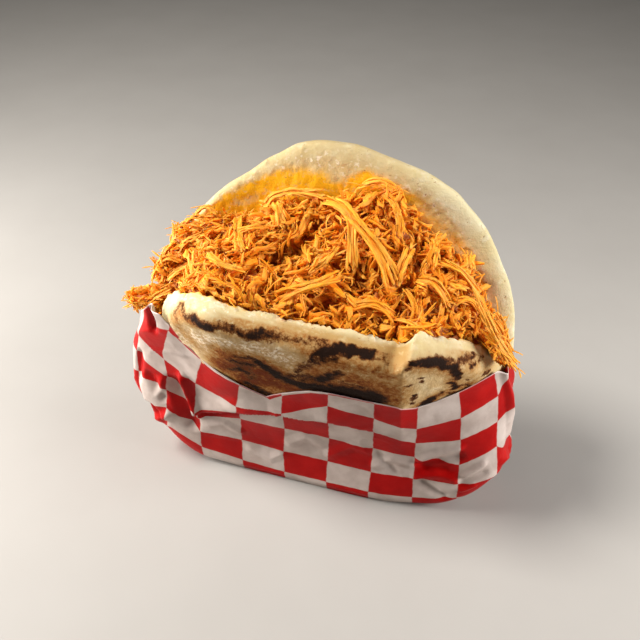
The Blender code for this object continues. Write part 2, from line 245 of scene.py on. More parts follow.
# Marks on the front leaf's griddled face: the (x, z) points of each, its width and how black it is
CHAR_STROKES = [
    ([(-34.8, 64.5), (-35.0, 62.2)], 0.5, 0.6),
    ([(-33.0, 65.3), (-31.5, 64.7), (-29.3, 65.3)], 0.55, 0.7),
    ([(-29.3, 65.2), (-27.0, 65.0), (-24.6, 64.9)], 0.75, 0.95),
    ([(-26.4, 64.8), (-24.2, 64.8)], 0.7, 1.25),
    ([(-24.2, 65.0), (-21.2, 65.3), (-19.1, 64.7), (-15.6, 63.8)], 0.45, 0.85),
    ([(-15.0, 63.6), (-12.6, 63.8)], 0.7, 1.2),
    ([(-12.6, 63.7), (-8.2, 63.5)], 0.6, 0.85),
    ([(-8.2, 63.5), (-3.9, 63.1), (2.8, 62.6)], 0.3, 0.55),
    ([(1.2, 60.9), (5.1, 61.6), (8.7, 61.6)], 0.55, 1.35),
    ([(8.7, 61.6), (13.6, 61.0)], 0.3, 1.2),
    ([(13.4, 61.0), (17.8, 60.2)], 0.1, 0.6),
    ([(1.0, 61.0), (0.2, 59.8), (0.6, 57.8)], 0.7, 0.95),
    ([(1.7, 59.2), (5.5, 59.6)], 0.6, 0.8),
    ([(-4.2, 52.6), (-1.6, 55.8), (-0.2, 58.4)], 1.0, 0.62),
    ([(0.9, 49.6), (3.5, 52.2)], 1.3, 1.1),
    ([(-6.4, 49.4), (-2.0, 50.6), (2.0, 50.0)], 0.9, 0.85),
    ([(-22.6, 47.6), (-19.4, 48.6), (-17.2, 45.4)], 0.7, 0.85),
    ([(6.4, 50.6), (10.5, 50.0), (15.0, 48.4)], 0.8, 0.6),
    ([(4.2, 53.4), (6.4, 54.8)], 0.8, 0.85),
    ([(-3.6, 48.4), (-0.5, 50.2), (3.0, 50.2)], 0.9, 0.66),
    ([(-18.9, 54.6), (-15.9, 55.1), (-13.7, 54.4)], 0.6, 0.85),
    ([(-21.5, 52.6), (-18.5, 51.4), (-15.5, 51.8)], 0.8, 0.8),
    ([(-13.8, 53.6), (-12.4, 51.6), (-10.4, 49.4)], 0.9, 1.05),
    ([(-10.4, 49.4), (-7.9, 47.0), (-4.0, 45.8)], 1.3, 1.2),
    ([(-3.6, 45.8), (0.5, 45.8), (4.5, 45.2)], 1.6, 1.25),
    ([(4.5, 45.6), (8.5, 45.8), (14.4, 45.8)], 2.6, 1.4),
    ([(-18.4, 41.8), (-16.2, 39.6), (-13.9, 38.0)], 0.9, 1.0),
    ([(-19.5, 50.2), (-17.0, 49.0), (-16.4, 46.5)], 0.6, 0.62),
    ([(23.2, 61.9), (25.5, 61.3), (27.5, 60.2)], 0.45, 1.3),
    ([(26.6, 60.6), (28.8, 59.0), (30.6, 57.6)], 0.75, 1.35),
    ([(30.0, 58.2), (32.0, 57.1)], 0.5, 1.0),
    ([(31.8, 57.0), (32.9, 54.2), (33.2, 51.6)], 0.6, 1.15),
    ([(32.8, 57.2), (34.8, 56.2)], 0.5, 0.7),
    ([(31.7, 49.6), (32.1, 49.2)], 0.4, 1.1),
    ([(32.6, 47.8), (33.0, 47.2)], 0.5, 1.2),
    ([(33.7, 47.7), (36.4, 46.3)], 0.4, 0.6),
    ([(27.6, 43.9), (26.3, 42.6), (25.2, 40.8)], 0.7, 1.3),
    ([(28.3, 44.4), (29.9, 45.8)], 0.5, 0.7),
    ([(31.4, 44.4), (33.7, 44.9), (36.5, 46.0)], 0.5, 0.6),
    ([(22.3, 60.3), (22.9, 60.0)], 0.22, 0.9),
    ([(25.2, 55.3), (25.3, 55.0)], 0.25, 0.9),
    ([(25.3, 53.5), (25.4, 53.1)], 0.15, 0.9),
    ([(21.8, 52.6), (23.1, 52.8)], 0.25, 0.7),
    ([(23.6, 47.1), (23.8, 46.1)], 0.4, 1.1),
    ([(23.3, 44.5), (23.5, 44.0)], 0.2, 1.0),
    ([(35.8, 55.8), (36.2, 55.5)], 0.2, 1.0),
    ([(37.8, 53.8), (38.0, 53.4)], 0.12, 0.9),
    ([(36.2, 54.2), (36.4, 53.8)], 0.12, 0.9),
    ([(35.8, 49.4), (36.1, 49.1)], 0.2, 0.8),
    ([(39.6, 49.3), (40.0, 48.8)], 0.35, 0.75),
]

# Browner toasting round the char, given the same way; the last two, down the left side of the crease, are
# partly painted shade
TOAST_AND_SHADE_STROKES = [
    ([(-35.5, 60.5), (-33.5, 63.8), (-26, 64.8), (-20, 65.2)], 0.5, 0.85),
    ([(-20, 65.0), (-8, 64.2), (2, 63.4), (14, 61.4)], 0.9, 0.7),
    ([(-36, 59), (-34, 57), (-31, 53)], 1.2, 0.55),
    ([(-4.0, 62.4), (0, 60.5), (0.5, 57)], 1.2, 0.7),
    ([(2, 57.6), (9, 58.2), (18, 57)], 2.0, 0.85),
    ([(0, 53), (8, 53), (18, 50.5)], 3.4, 0.95),
    ([(-1, 48.5), (8, 48.5), (18, 46.5)], 2.6, 1.15),
    ([(-22.5, 54.2), (-14, 53), (-9, 49.5)], 2.4, 1.2),
    ([(-23.5, 48.4), (-18.6, 49.4), (-12, 48)], 3.2, 1.45),
    ([(-19, 43.5), (-11.8, 44.5), (-6.1, 42.5), (2, 42.5)], 3.2, 1.4),
    ([(-18, 41), (-12, 38.5)], 2.0, 1.1),
    ([(23, 60.8), (30, 57.4), (32.6, 54), (32.5, 48)], 1.1, 0.75),
    ([(33, 57.5), (35.5, 56), (36.5, 53)], 1.0, 0.5),
    ([(25, 41.5), (30, 45.4), (37, 47)], 1.1, 0.8),
    ([(36, 50.5), (40, 50)], 1.3, 0.4),
    ([(18.6, 60), (19.4, 55), (19.8, 45)], 1.0, 0.45),
    ([(16.5, 61), (19.4, 59), (20.0, 54)], 1.3, 0.62),
]

# More marks as (x, z) points along each: the greyed patch of the front face, the oil stains on the torn face
# (with their width, softness and strength), the darker stain at its right and the drip over the front rim
GREYED_LINE = [(-33, 55), (-22, 57.5), (-8, 57)]
OIL_STAINS = [
    ([(-43, 68), (-38, 74.5), (-31, 78.6), (-24, 81.6), (-14, 83.2), (-8, 83)], 2.7, 3.2, 1.0),
    ([(35.8, 66), (38.7, 60.5), (40.7, 54)], 1.5, 1.3, 0.7),
]
OLIVE_STAIN = [(17, 84.5), (23, 80.6), (31, 74), (35, 69)]
OIL_DRIP = [(-33.2, 67.4), (-34.6, 64.4), (-35.6, 61.5)]

# How far the back leaf's soft rim band reaches over its pocket face, by the angle round the leaf in degrees
LIP_STATIONS = [(15, 5.6), (50, 5.0), (88, 3.8), (115, 2.8), (140, 1.4), (170, 1.2)]


def lip_reach(angle, front):
    """How far the soft rim band reaches over the pocket face."""
    if front:
        return np.full(np.shape(angle), FRONT_LIP_REACH)
    return along(LIP_STATIONS, np.degrees(angle) % 360)


def leaf_stations(angle, front, face_rings, pocket_rings):
    """How far in from the rim and how high over the pocket face each ring of a leaf lies."""
    lip = FRONT_LIP_HEIGHT if front else BACK_LIP_HEIGHT
    face = RIM_ROUNDING + (DISC_RADIUS - RIM_ROUNDING) * np.linspace(0.008, 1.0, face_rings) ** 1.25
    stations = [(inset, LEAF_THICKNESS) for inset in face[::-1]]
    turn = math.acos((lip / LEAF_THICKNESS) ** (RIM_FULLNESS / 2))
    for t in np.linspace(0, turn, 26):
        inset = RIM_ROUNDING * (1 - math.sin(t) ** (2 / RIM_FULLNESS))
        stations.append((inset, LEAF_THICKNESS * math.cos(t) ** (2 / RIM_FULLNESS)))
    start = stations[-1][0]
    reach = lip_reach(angle, front)
    for t in np.linspace(0, math.pi / 2, 10)[1:]:
        stations.append((start + reach * (1 - math.cos(t)), lip * (1 - math.sin(t))))
    reach = start + reach
    for share in np.linspace(0.015, 1.0, pocket_rings) ** 1.4:
        stations.append((reach + (DISC_RADIUS - reach) * share, 0.0))
    return stations


def leaf_rings(front, face_rings, pocket_rings):
    """Rings of points from the middle of a leaf's outer face, round its rim, to its pocket face's middle."""
    showing = np.radians(np.arange(-24, 204, 0.62))
    in_paper = np.radians(np.arange(204, 336, 3.0))
    angle = np.concatenate([showing, in_paper])
    edge = np.stack([np.cos(angle), np.sin(angle), np.zeros_like(angle)], axis=1) * DISC_RADIUS
    waves = (0.45 if front else 0.3) * lumps(edge, 6.5, 5 + front)
    rim = outline_radius(angle, front)
    rings = []
    for inset, depth in leaf_stations(angle, front, face_rings, pocket_rings):
        share = np.clip(1 - inset / DISC_RADIUS, 0, 1)
        shrunk = (rim - RIM_ROUNDING) * share / (1 - RIM_ROUNDING / DISC_RADIUS)
        r = np.where(inset <= RIM_ROUNDING, rim - inset, shrunk) + waves * np.exp(-((inset / 6.0) ** 2))
        x = DISC_X + r * np.cos(angle)
        z = settled_height(x, DISC_Z + r * np.sin(angle), front)
        y = front_inner_y(x, z) - depth if front else back_inner_y(x, z) + depth
        rings.append(np.stack([x, y, z], axis=1))
    return rings


def to_frame(points):
    """Millimetres in the drawing coordinates to metres in the object's frame."""
    return (np.asarray(points, dtype=float) - (ORIGIN_X, ORIGIN_Y, 0.0)) * MM


def to_drawing(mesh):
    """A mesh's points in millimetres in the drawing coordinates, as an array."""
    flat = np.empty(len(mesh.vertices) * 3)
    mesh.vertices.foreach_get("co", flat)
    return flat.reshape(-1, 3) / MM + (ORIGIN_X, ORIGIN_Y, 0.0)


def turn_faces_out(mesh):
    """Makes every face of a closed mesh point out."""
    shape = bmesh.new()
    shape.from_mesh(mesh)
    bmesh.ops.recalc_face_normals(shape, faces=shape.faces)
    shape.to_mesh(mesh)
    shape.free()


def add_object(name, data):
    """A new object in the scene."""
    obj = bpy.data.objects.new(name, data)
    bpy.context.scene.collection.objects.link(obj)
    return obj


def evaluated_mesh(obj):
    """A new mesh of an object with its modifiers worked out."""
    bpy.context.view_layer.update()
    return bpy.data.meshes.new_from_object(obj.evaluated_get(bpy.context.evaluated_depsgraph_get()))


def new_piece(name, points, faces, closed=True):
    """An object from points in millimetres. A closed one has its faces turned out."""
    mesh = bpy.data.meshes.new(name)
    mesh.from_pydata(to_frame(points).tolist(), [], faces)
    if closed:
        turn_faces_out(mesh)
    mesh.shade_smooth()
    return add_object(name, mesh)


def ring_faces(rings, count, start=0):
    """Quads between neighbouring closed rings of that many points each."""
    faces = []
    for ring in range(rings - 1):
        a, b = start + ring * count, start + (ring + 1) * count
        for i in range(count):
            j = (i + 1) % count
            faces.append((a + i, a + j, b + j, b + i))
    return faces


def closed_rings(name, rings):
    """A closed piece from rings, with a fan over the first and the last."""
    count = len(rings[0])
    points = np.concatenate([rings[0].mean(axis=0)[None], *rings, rings[-1].mean(axis=0)[None]])
    faces = ring_faces(len(rings), count, 1)
    last = 1 + (len(rings) - 1) * count
    for i in range(count):
        j = (i + 1) % count
        faces.append((0, 1 + j, 1 + i))
        faces.append((len(points) - 1, last + i, last + j))
    return new_piece(name, points, faces)


def set_points(obj, points):
    """Moves a piece's points to new places in the drawing coordinates."""
    obj.data.vertices.foreach_set("co", to_frame(points).ravel())
    obj.data.update()


def point_normals(mesh):
    """The normal at each of a mesh's points."""
    flat = np.empty(len(mesh.vertices) * 3)
    mesh.vertex_normals.foreach_get("vector", flat)
    return flat.reshape(-1, 3)


def corner_points(mesh):
    """The number of the point at each face corner."""
    corners = np.empty(len(mesh.loops), dtype=np.int32)
    mesh.loops.foreach_get("vertex_index", corners)
    return corners


def store(obj, name, values):
    """Keeps one number for each point of a piece, for its material to read."""
    field = obj.data.attributes.new(name, "FLOAT", "POINT")
    field.data.foreach_set("value", np.asarray(values, dtype=np.float32))


def merged(target, others):
    """Joins closed pieces to the target with one Boolean union and removes them."""
    group = bpy.data.collections.new("to_join")
    bpy.context.scene.collection.children.link(group)
    for obj in others:
        bpy.context.scene.collection.objects.unlink(obj)
        group.objects.link(obj)
    union = target.modifiers.new("union", "BOOLEAN")
    union.operation = "UNION"
    union.operand_type = "COLLECTION"
    union.collection = group
    union.solver = "MANIFOLD"
    mesh = evaluated_mesh(target)
    target.modifiers.clear()
    target.data = mesh
    mesh.shade_smooth()
    for obj in others:
        bpy.data.objects.remove(obj)
    bpy.data.collections.remove(group)


def painted(strokes, x, z, share, wider, softer):
    """The strongest of several painted strokes at each point."""
    marks = np.zeros(len(x))
    for line, width, strength in strokes:
        marks = np.maximum(marks, strength * near_line(x, z, line, share * width + wider, width + softer))
    return marks


def make_bread():
    """The corn cake: two leaves with a griddled face, a soft pale rim and a torn pocket face."""
    bread = closed_rings("arepa_bread_dressed", leaf_rings(front=True, face_rings=66, pocket_rings=20))
    merged(bread, [closed_rings("back_leaf", leaf_rings(front=False, face_rings=34, pocket_rings=46))])
    points = to_drawing(bread.data)
    x, y, z = points.T
    to_front = np.abs(y - (front_inner_y(x, z) - LEAF_THICKNESS / 2))
    front = to_front < np.abs(y - (back_inner_y(x, z) + LEAF_THICKNESS / 2))
    behind = np.where(front, front_inner_y(x, z) - y, y - back_inner_y(x, z))
    angle = np.arctan2(z - DISC_Z, x - DISC_X)
    from_back_rim = outline_radius(angle, False) - np.hypot(x - DISC_X, z - DISC_Z)
    from_rim = np.where(front, front_rim_z(x) - z, from_back_rim)
    coarse, middle, fine = lumps(points, 5.5, 1), lumps(points, 2.1, 2), lumps(points, 1.05, 3)
    # The torn face starts along a ragged line below the rim band
    tear = np.where(front, 0.4, lip_reach(angle, False)) + 0.7 * middle + 0.5 * fine
    ragged = np.where(front, 0.35, 1.6)
    pocket = smooth(1.3, 0.4, behind) * smooth(tear - ragged, tear + ragged, from_rim)
    near_tear = bell(0.8, 2.2, from_rim - tear) * smooth(2.0, 0.8, behind)
    griddled = smooth(6.6, 8.8, behind)
    greyed = front * griddled * near_line(x, z, GREYED_LINE, 5.0, 3.0)
    # Relief: the faces' swellings, then the torn face, its edge and the crumbs on the rim
    rise = 0.12 * coarse + 0.05 * middle
    rise += griddled * (0.10 * middle + 0.08 * fine - 0.12 * np.abs(lumps(points, 3.0, 7)))
    rise += greyed * 0.16 * np.maximum(0, lumps(points, 0.9, 8))
    torn = np.where(front, 0.26 * middle + 0.26 * fine - 0.35, 0.14 * middle + 0.10 * fine)
    rise += pocket * smooth(30, 42, z) * torn
    front_crumb = 0.45 * np.maximum(0, lumps(points, 1.5, 9)) + 0.25 * fine
    back_crumb = 0.08 * fine + 0.6 * smooth(2, 10, x) * np.maximum(0, lumps(points, 1.8, 22))
    rise += near_tear * np.where(front, front_crumb, back_crumb)
    torn_edge = front * smooth(2.6, 0.3, from_rim) * smooth(3.0, 0.6, behind)
    rise += torn_edge * (0.9 * lumps(points, 3.8, 19) + 0.8 * np.maximum(0, lumps(points, 1.9, 20)))
    crumbs = np.maximum(0, lumps(points, 1.6, 21) - 0.35) * smooth(1.5, 0.4, np.abs(behind - 1.0))
    rise += 1.1 * (crumbs * smooth(4, 1, from_rim)) * smooth(40, 52, z)
    set_points(bread, points + point_normals(bread.data) * rise[:, None])
    # Painted marks, wobbled so that no stroke has a drawn edge
    wx = x + 0.6 * lumps(points, 2.6, 11) + 0.45 * lumps(points, 1.1, 12)
    wz = z + 0.6 * lumps(points, 2.6, 13) + 0.45 * lumps(points, 1.1, 14)
    on_front = front * smooth(3.2, 4.4, behind)
    char = painted(CHAR_STROKES, wx, wz, 0.95, 0.35, 0.6) * on_front
    toast_and_shade = painted(TOAST_AND_SHADE_STROKES, wx, wz, 1.0, 0.7, 2.2) * on_front
    back_marks = smooth(0.05, 0.5, lumps(points * (1, 1, 2.2), 13, 31)) * smooth(7.4, 8.8, behind)
    back_char = smooth(0.15, 0.55, lumps(points * (1, 1, 2.6), 9, 32)) * back_marks
    tan_and_shade = smooth(0.2, 3.0, behind) * (0.08 + 0.92 * smooth(-24, -4, x)) * (1 - 0.6 * smooth(20.5, 23, x))
    # Painted shade, partly toasting, on the left of the crease where its bulge catches the light
    tan_and_shade += 0.35 * bell(19.2, 2.2, x) * bell(59.5, 4.5, z)
    # Painted shade: the back leaf darker towards its top, most at the left
    back_painted_shade = 0.5 * smooth(60, 84, z) * (1 - 0.85 * smooth(6, 28, x))
    # The oil that the filling leaves on the torn face, strongest at its edge and at the left
    above = np.where(front, z - front_rim_z(x) + 1.8, z - along(HEAP_EDGE, x))
    oil = 0.9 * smooth(4.0, 0.2, above + 1.6 * lumps(points, 3.5, 15))
    oil *= np.where(front, 0.8, 1 - 0.5 * smooth(4, 22, x))
    for line, width, softness, strength in OIL_STAINS:
        oil = np.maximum(oil, strength * near_line(wx, wz, line, width, softness))
    oil *= np.maximum(pocket, 0.2 * smooth(1.4, 0.6, behind))
    drip = 0.6 * front * (behind > 0.6) * near_line(x, z, OIL_DRIP, 0.2, 0.4)
    left_rim = front * smooth(-6, -22, x) * smooth(7.5, 5.0, behind)
    fields = {
        "char": np.where(front, char, back_char),
        "toast_and_shade": np.where(front, toast_and_shade, 0.7 * back_marks),
        "oil": np.maximum(oil, drip),
        "olive": near_line(wx, wz, OLIVE_STAIN, 2.6, 2.0) * pocket * ~front,
        "tan_and_shade": np.where(front, tan_and_shade * (1 - pocket), back_painted_shade),
        "pocket": pocket,
        "tear": np.maximum(near_tear, left_rim),
        "griddled": griddled,
        "greyed": greyed,
    }
    for name, values in fields.items():
        store(bread, name, values)
    return bread


# The checked paper


# Stations (x, z) of the paper's front top edge
PAPER_EDGE = [(-54, 46), (-50, 55), (-45.6, 59.5), (-41, 60), (-35, 50), (-30.4, 46), (-22.5, 42.5),
              (-19, 40.5), (-13.7, 36.8), (-9, 40.2), (-2, 43.7), (5, 44.7), (13, 43.4), (20, 42.5),
              (24.5, 41), (29, 42.2), (39.3, 46.9), (43.5, 48.4), (47.4, 46)]

# Stations (x, z) of the lines between the check's rows, from the foot up
CHECK_ROWS = [
    [(-55, 2), (-48, 2), (-37, -3), (-12, -6), (25, -4), (47, -2)],
    [(-55, 10), (-47, 12), (-37, 6.4), (-25, 4.4), (-12, 3.6), (1, 3.6), (13, 4), (25.5, 4.4), (37, 6),
     (47, 7)],
    [(-55, 19.8), (-46.6, 21.2), (-37, 13.2), (-24.6, 12.8), (-12, 11.6), (1, 11.2), (13, 10.8), (25.3, 11.2),
     (37.3, 11.6), (47, 13.4)],
    [(-55, 30.2), (-46, 28), (-36.4, 20.2), (-23.8, 23.2), (-11, 22.8), (1.5, 21.6), (13.5, 20.4),
     (24.9, 19.2), (36.9, 18), (45.8, 23.2), (47.4, 21.6)],
    [(-55, 38.6), (-45.8, 33.3), (-36.8, 23.6), (-23.6, 28.4), (-10.7, 30), (1.9, 32), (13.9, 29.6),
     (25.2, 25.2), (36.2, 26.8), (44.8, 31.2), (47.4, 34.6)],
    [(-55, 48.2), (-44.7, 39.6), (-35.8, 34), (-23.3, 31.2), (-10.7, 32), (2.3, 38.8), (13.9, 36.4),
     (24.9, 32), (35.5, 34.8), (43.8, 40), (47.2, 48)],
    [(-52, 70), (-46.5, 61), (-45, 53.5), (-40, 54.2), (-35.5, 48.2), (-30.4, 44.2), (-22.5, 41.2),
     (-19, 39.2), (-13.7, 35.6), (-9, 39.2), (-2, 42.8), (5, 43.9), (13, 42.8), (20, 42.5), (25, 43.5),
     (34.4, 46.2), (42.8, 50), (47.2, 57)],
    [(-50, 74), (-20, 55), (20, 55), (43, 60)],
]

# The lines between the check's columns, numbered from the front's middle: (z, x) stations from the foot up
CHECK_COLUMNS = [
    (-4, [(5, -48.6), (12.4, -48), (21.6, -46.3), (28.4, -45.8), (34.8, -44.7), (42, -44.7), (56, -39)]),
    (-3, [(6.4, -37.5), (14, -37.2), (20.8, -36.6), (28, -36.6), (34, -35.8), (48, -31.1)]),
    (-2, [(4.4, -24.9), (12.8, -24.6), (23.2, -23.8), (31.2, -23.3), (42.8, -20.8)]),
    (-1, [(3.6, -12), (11.6, -12.1), (22.8, -11), (31, -10.7), (38.8, -10)]),
    (0, [(3.6, 0.7), (11.2, 0.8), (21.6, 1.5), (32, 1.9), (38.8, 2.3), (45.6, 2.7)]),
    (1, [(4, 13.2), (20.4, 13.5), (29.6, 13.9), (44.8, 14.2)]),
    (2, [(4.4, 25.5), (19.2, 24.9), (32, 24.9), (40.8, 25.2)]),
    (3, [(5, 37.6), (11.6, 37.3), (18, 36.9), (26.8, 36.2), (34.8, 35.5), (45.2, 34.4)]),
    (4, [(5, 47.4), (14.8, 46.9), (23.2, 45.8), (31.2, 44.8), (40, 43.8), (50, 42.8)]),
]


def paper_slack(x, z):
    """The room between the leaves and the paper."""
    foot = (PAPER_FOOT_SLACK - PAPER_SLACK) * (1 - smooth(4, 25, z))
    return PAPER_SLACK + foot + PAPER_END_SLACK * smooth(26, 48, np.abs(x - PAPER_X))


def pouch_plan(angle):
    """Round the pouch's plan, a boxy ellipse: the share across it and the share of its depth."""
    c = 0.5 * np.cos(angle)
    s = np.abs(np.sin(angle))
    size = (np.abs(c) ** PAPER_SQUARENESS + s**PAPER_SQUARENESS) ** (1 / PAPER_SQUARENESS)
    return c / size, s / size


def paper_wall(angle, z):
    """Points of the pouch's smooth outer face at those heights, round the pouch by angle."""
    across, depth = pouch_plan(angle)
    lift = np.minimum(1.0, z / np.where(across < 0, PAPER_LEFT_END_HEIGHT, PAPER_RIGHT_END_HEIGHT))
    spread = 0.6 * np.sqrt(1 - (1 - lift) ** 2) + 0.4 * lift
    left = PAPER_FOOT_LEFT + (PAPER_LEFT - PAPER_LEFT_TAPER * smooth(30, 58, z) - PAPER_FOOT_LEFT) * spread
    right = PAPER_FOOT_RIGHT + (PAPER_RIGHT - PAPER_FOOT_RIGHT) * spread
    x = PAPER_X + np.where(across < 0, left, right) * across
    middle = SLIT_Y + 0.1 * (z - HINGE_Z) * smooth(10, 40, z)
    front = np.sin(angle) < 0
    foot = 2.6 * smooth(-30, 22, x) * (1 - smooth(3, 22, z))
    front_y = front_inner_y(x, z) - LEAF_THICKNESS - paper_slack(x, z) - foot
    back_y = back_inner_y(x, z) + LEAF_THICKNESS + paper_slack(x, z)
    y = middle + (np.where(front, front_y, back_y) - middle) * depth
    inset = 0.9 * (1 - smooth(0, 2.5, z)) * depth
    return np.stack([x, np.where(front, y + inset, y - inset), z + 0 * x], axis=-1)


def paper_top(angle):
    """The height of the paper's top edge."""
    across, depth = pouch_plan(angle)
    reach = np.where(across < 0, PAPER_LEFT - PAPER_LEFT_TAPER, PAPER_RIGHT)
    cut = along(PAPER_EDGE, PAPER_X + reach * across)
    end_top = np.where(across < 0, PAPER_EDGE[0][1], PAPER_EDGE[-1][1])
    level = end_top + (PAPER_BACK_TOP - end_top) * smooth(0.0, 0.6, depth)
    return np.where(np.sin(angle) < 0, cut, level)


def step_across(x, z, line, drop, run):
    """1 on a fold line, falling sharply to 0 below it and slowly above."""
    height = z - along(line, x)
    below = smooth(-drop, 0, height)
    above = 1 - smooth(0, run, height)
    return below * above


# The (x, z) points of the long pleat's fold
PLEAT_LINE = [(-42, 19), (-37, 22.6), (-33.5, 23.4), (-28.9, 25.4), (-23.6, 28.4), (-19, 29.2), (-10.9, 31),
              (-4.7, 31), (1.9, 32.2), (8, 31.6), (14, 29.8), (26, 26)]

# Crisp folds of the paper's front: the (x, z) points of each, how wide it slopes and how far it stands out
FOLDS = [
    ([(-39.6, 35), (-38.5, 28.8), (-37.3, 24), (-36.5, 21.0)], 1.9, 2.0),
    ([(-43.4, 31), (-41.6, 25), (-39.8, 19), (-39.6, 16)], 3.4, -2.0),
    ([(-36.5, 21.4), (-30, 23.4), (-24, 26.2)], 1.4, -0.8),
    ([(-52.3, 19), (-49.5, 14.6)], 2.6, -1.7),
    ([(-51.4, 12.6), (-48.6, 16), (-46, 18.8)], 2.0, 1.4),
    ([(-50.5, 31), (-47.4, 25)], 2.6, -1.3),
    ([(-48.6, 25), (-46.2, 31.4)], 1.6, 1.0),
    ([(-45.3, 60), (-44.9, 52)], 1.6, -2.0),
    ([(26.3, 18.6), (30.8, 21.8), (36.2, 24.2)], 1.7, 1.2),
    ([(27.0, 16.2), (32, 19.0), (36.3, 20.6)], 1.8, -1.1),
    ([(26.0, 12.0), (31, 14.2), (36, 13.4)], 2.0, 0.9),
    ([(28.2, 15.2), (33.8, 16.4)], 1.8, -0.8),
    ([(38.6, 15.0), (43.0, 18.6)], 1.3, 1.2),
    ([(38.2, 12.8), (43.6, 15.4)], 1.6, -0.9),
    ([(38.4, 10.0), (41.5, 11.6)], 1.2, 0.8),
    ([(27.6, 10.2), (34.2, 6.4)], 2.0, -1.2),
    ([(14.6, 14), (19, 17.4), (23.6, 16.4)], 2.2, 0.7),
    ([(15, 18.4), (20, 12.6)], 1.8, -0.6),
    ([(1.8, 14.5), (8, 20), (12, 19)], 2.4, 0.6),
    ([(-10, 16), (-5, 20.5), (-1, 18)], 2.4, 0.6),
    ([(-22, 10), (-16, 8), (-13, 10.4)], 2.2, 0.6),
    ([(-34, 17), (-29, 19.4), (-25, 17)], 2.2, 0.7),
]

# Folds of the pinched ends, given the same way, but with the way round the pouch in place of x
END_FOLDS = [
    ([(54, 47), (54.5, 36), (56, 24)], 2.2, 1.3),
    ([(59, 44), (59.5, 32), (60.5, 22)], 3.4, -1.5),
    ([(53, 17), (58, 13), (63, 15)], 2.4, 1.2),
    ([(-60, 38), (-62, 26), (-60, 16)], 2.8, -1.3),
]


def paper_relief(x, z, column, front):
    """Folds and bulges of the paper, in millimetres out of the smooth wall."""
    # The long flat pleat that starts at the gusset and runs out to the right
    pleat = smooth(-41, -36, x) * smooth(22, 4, x)
    rise = 1.2 * pleat * step_across(x, z, PLEAT_LINE, 0.5, 7.0)
    for line, width, height in FOLDS:
        rise += height * ridge_along(x, z, line, width)
    rise = rise * front
    # Each pinched end bulges low down
    rise += 1.8 * bell(4.9, 0.75, column) * bell(15, 7, z)
    rise += 1.2 * bell(-4.9, 0.8, column) * bell(19, 8, z)
    for line, width, height in END_FOLDS:
        rise += height * ridge_along(CHECK_WIDTH * column, z, line, width)
    return rise


def check_columns(grid, front_part):
    """Column numbers round each ring: the stations on the front, then evenly spaced round the back."""
    steps = np.linalg.norm(np.roll(grid, -1, axis=1) - grid, axis=2)
    columns = np.empty(grid.shape[:2])
    for ring, step in enumerate(steps):
        run = np.concatenate([[0], np.cumsum(step)])
        x, z = grid[ring, front_part, 0], grid[ring, front_part, 2]
        places = [np.interp(0.0, x - along(line, z), run[:-1][front_part]) for number, line in CHECK_COLUMNS]
        numbers = [number for number, line in CHECK_COLUMNS]
        places = [places[0] - CHECK_WIDTH] + places + [places[-1] + CHECK_WIDTH]
        numbers = [numbers[0] - 1] + numbers + [numbers[-1] + 1]
        laps = np.array([-1, 0, 1])[:, None]
        every_place = (np.array(places) + laps * run[-1]).ravel()
        every_number = (np.array(numbers) + laps * CHECK_COUNT).ravel()
        columns[ring] = np.interp(run[:-1], every_place, every_number)
    return columns


def lay_check_map(mesh, column, row):
    """The print's map: columns and rows on the walls, a plain square check under the foot."""
    corners = corner_points(mesh)
    starts = np.array([face.loop_start for face in mesh.polygons])
    sizes = np.array([face.loop_total for face in mesh.polygons])
    face_of_corner = np.repeat(np.arange(len(starts)), sizes)
    across = column[corners]
    # Where a face closes the ring, its far side belongs to the next lap
    most = np.maximum.reduceat(across, starts)[face_of_corner]
    across = np.where(most - across > CHECK_COUNT / 2, across + CHECK_COUNT, across)
    places = to_drawing(mesh)[corners]
    under = (sizes == 3)[face_of_corner]
    across = np.where(under, places[:, 0] / CHECK_WIDTH, across)
    up = np.where(under, places[:, 1] / CHECK_WIDTH, row[corners])
    layer = mesh.uv_layers.new(name="check")
    layer.data.foreach_set("uv", np.stack([across, up], axis=1).astype(np.float32).ravel())


def print_rows(x, height, normals):
    """The print's row at each point: along the stations on the front, level at the back."""
    lines = np.array([along(line, x) for line in CHECK_ROWS])
    row = np.zeros(len(height))
    for k in range(len(CHECK_ROWS) - 1):
        share = (height - lines[k]) / np.maximum(0.2, lines[k + 1] - lines[k])
        row = np.where(height >= lines[k], k + np.minimum(share, 1.0), row)
    turned_away = smooth(0.0, 0.7, normals[:, 1] / np.hypot(normals[:, 0], normals[:, 1]))
    return row + (height / BACK_ROW_HEIGHT - row) * turned_away


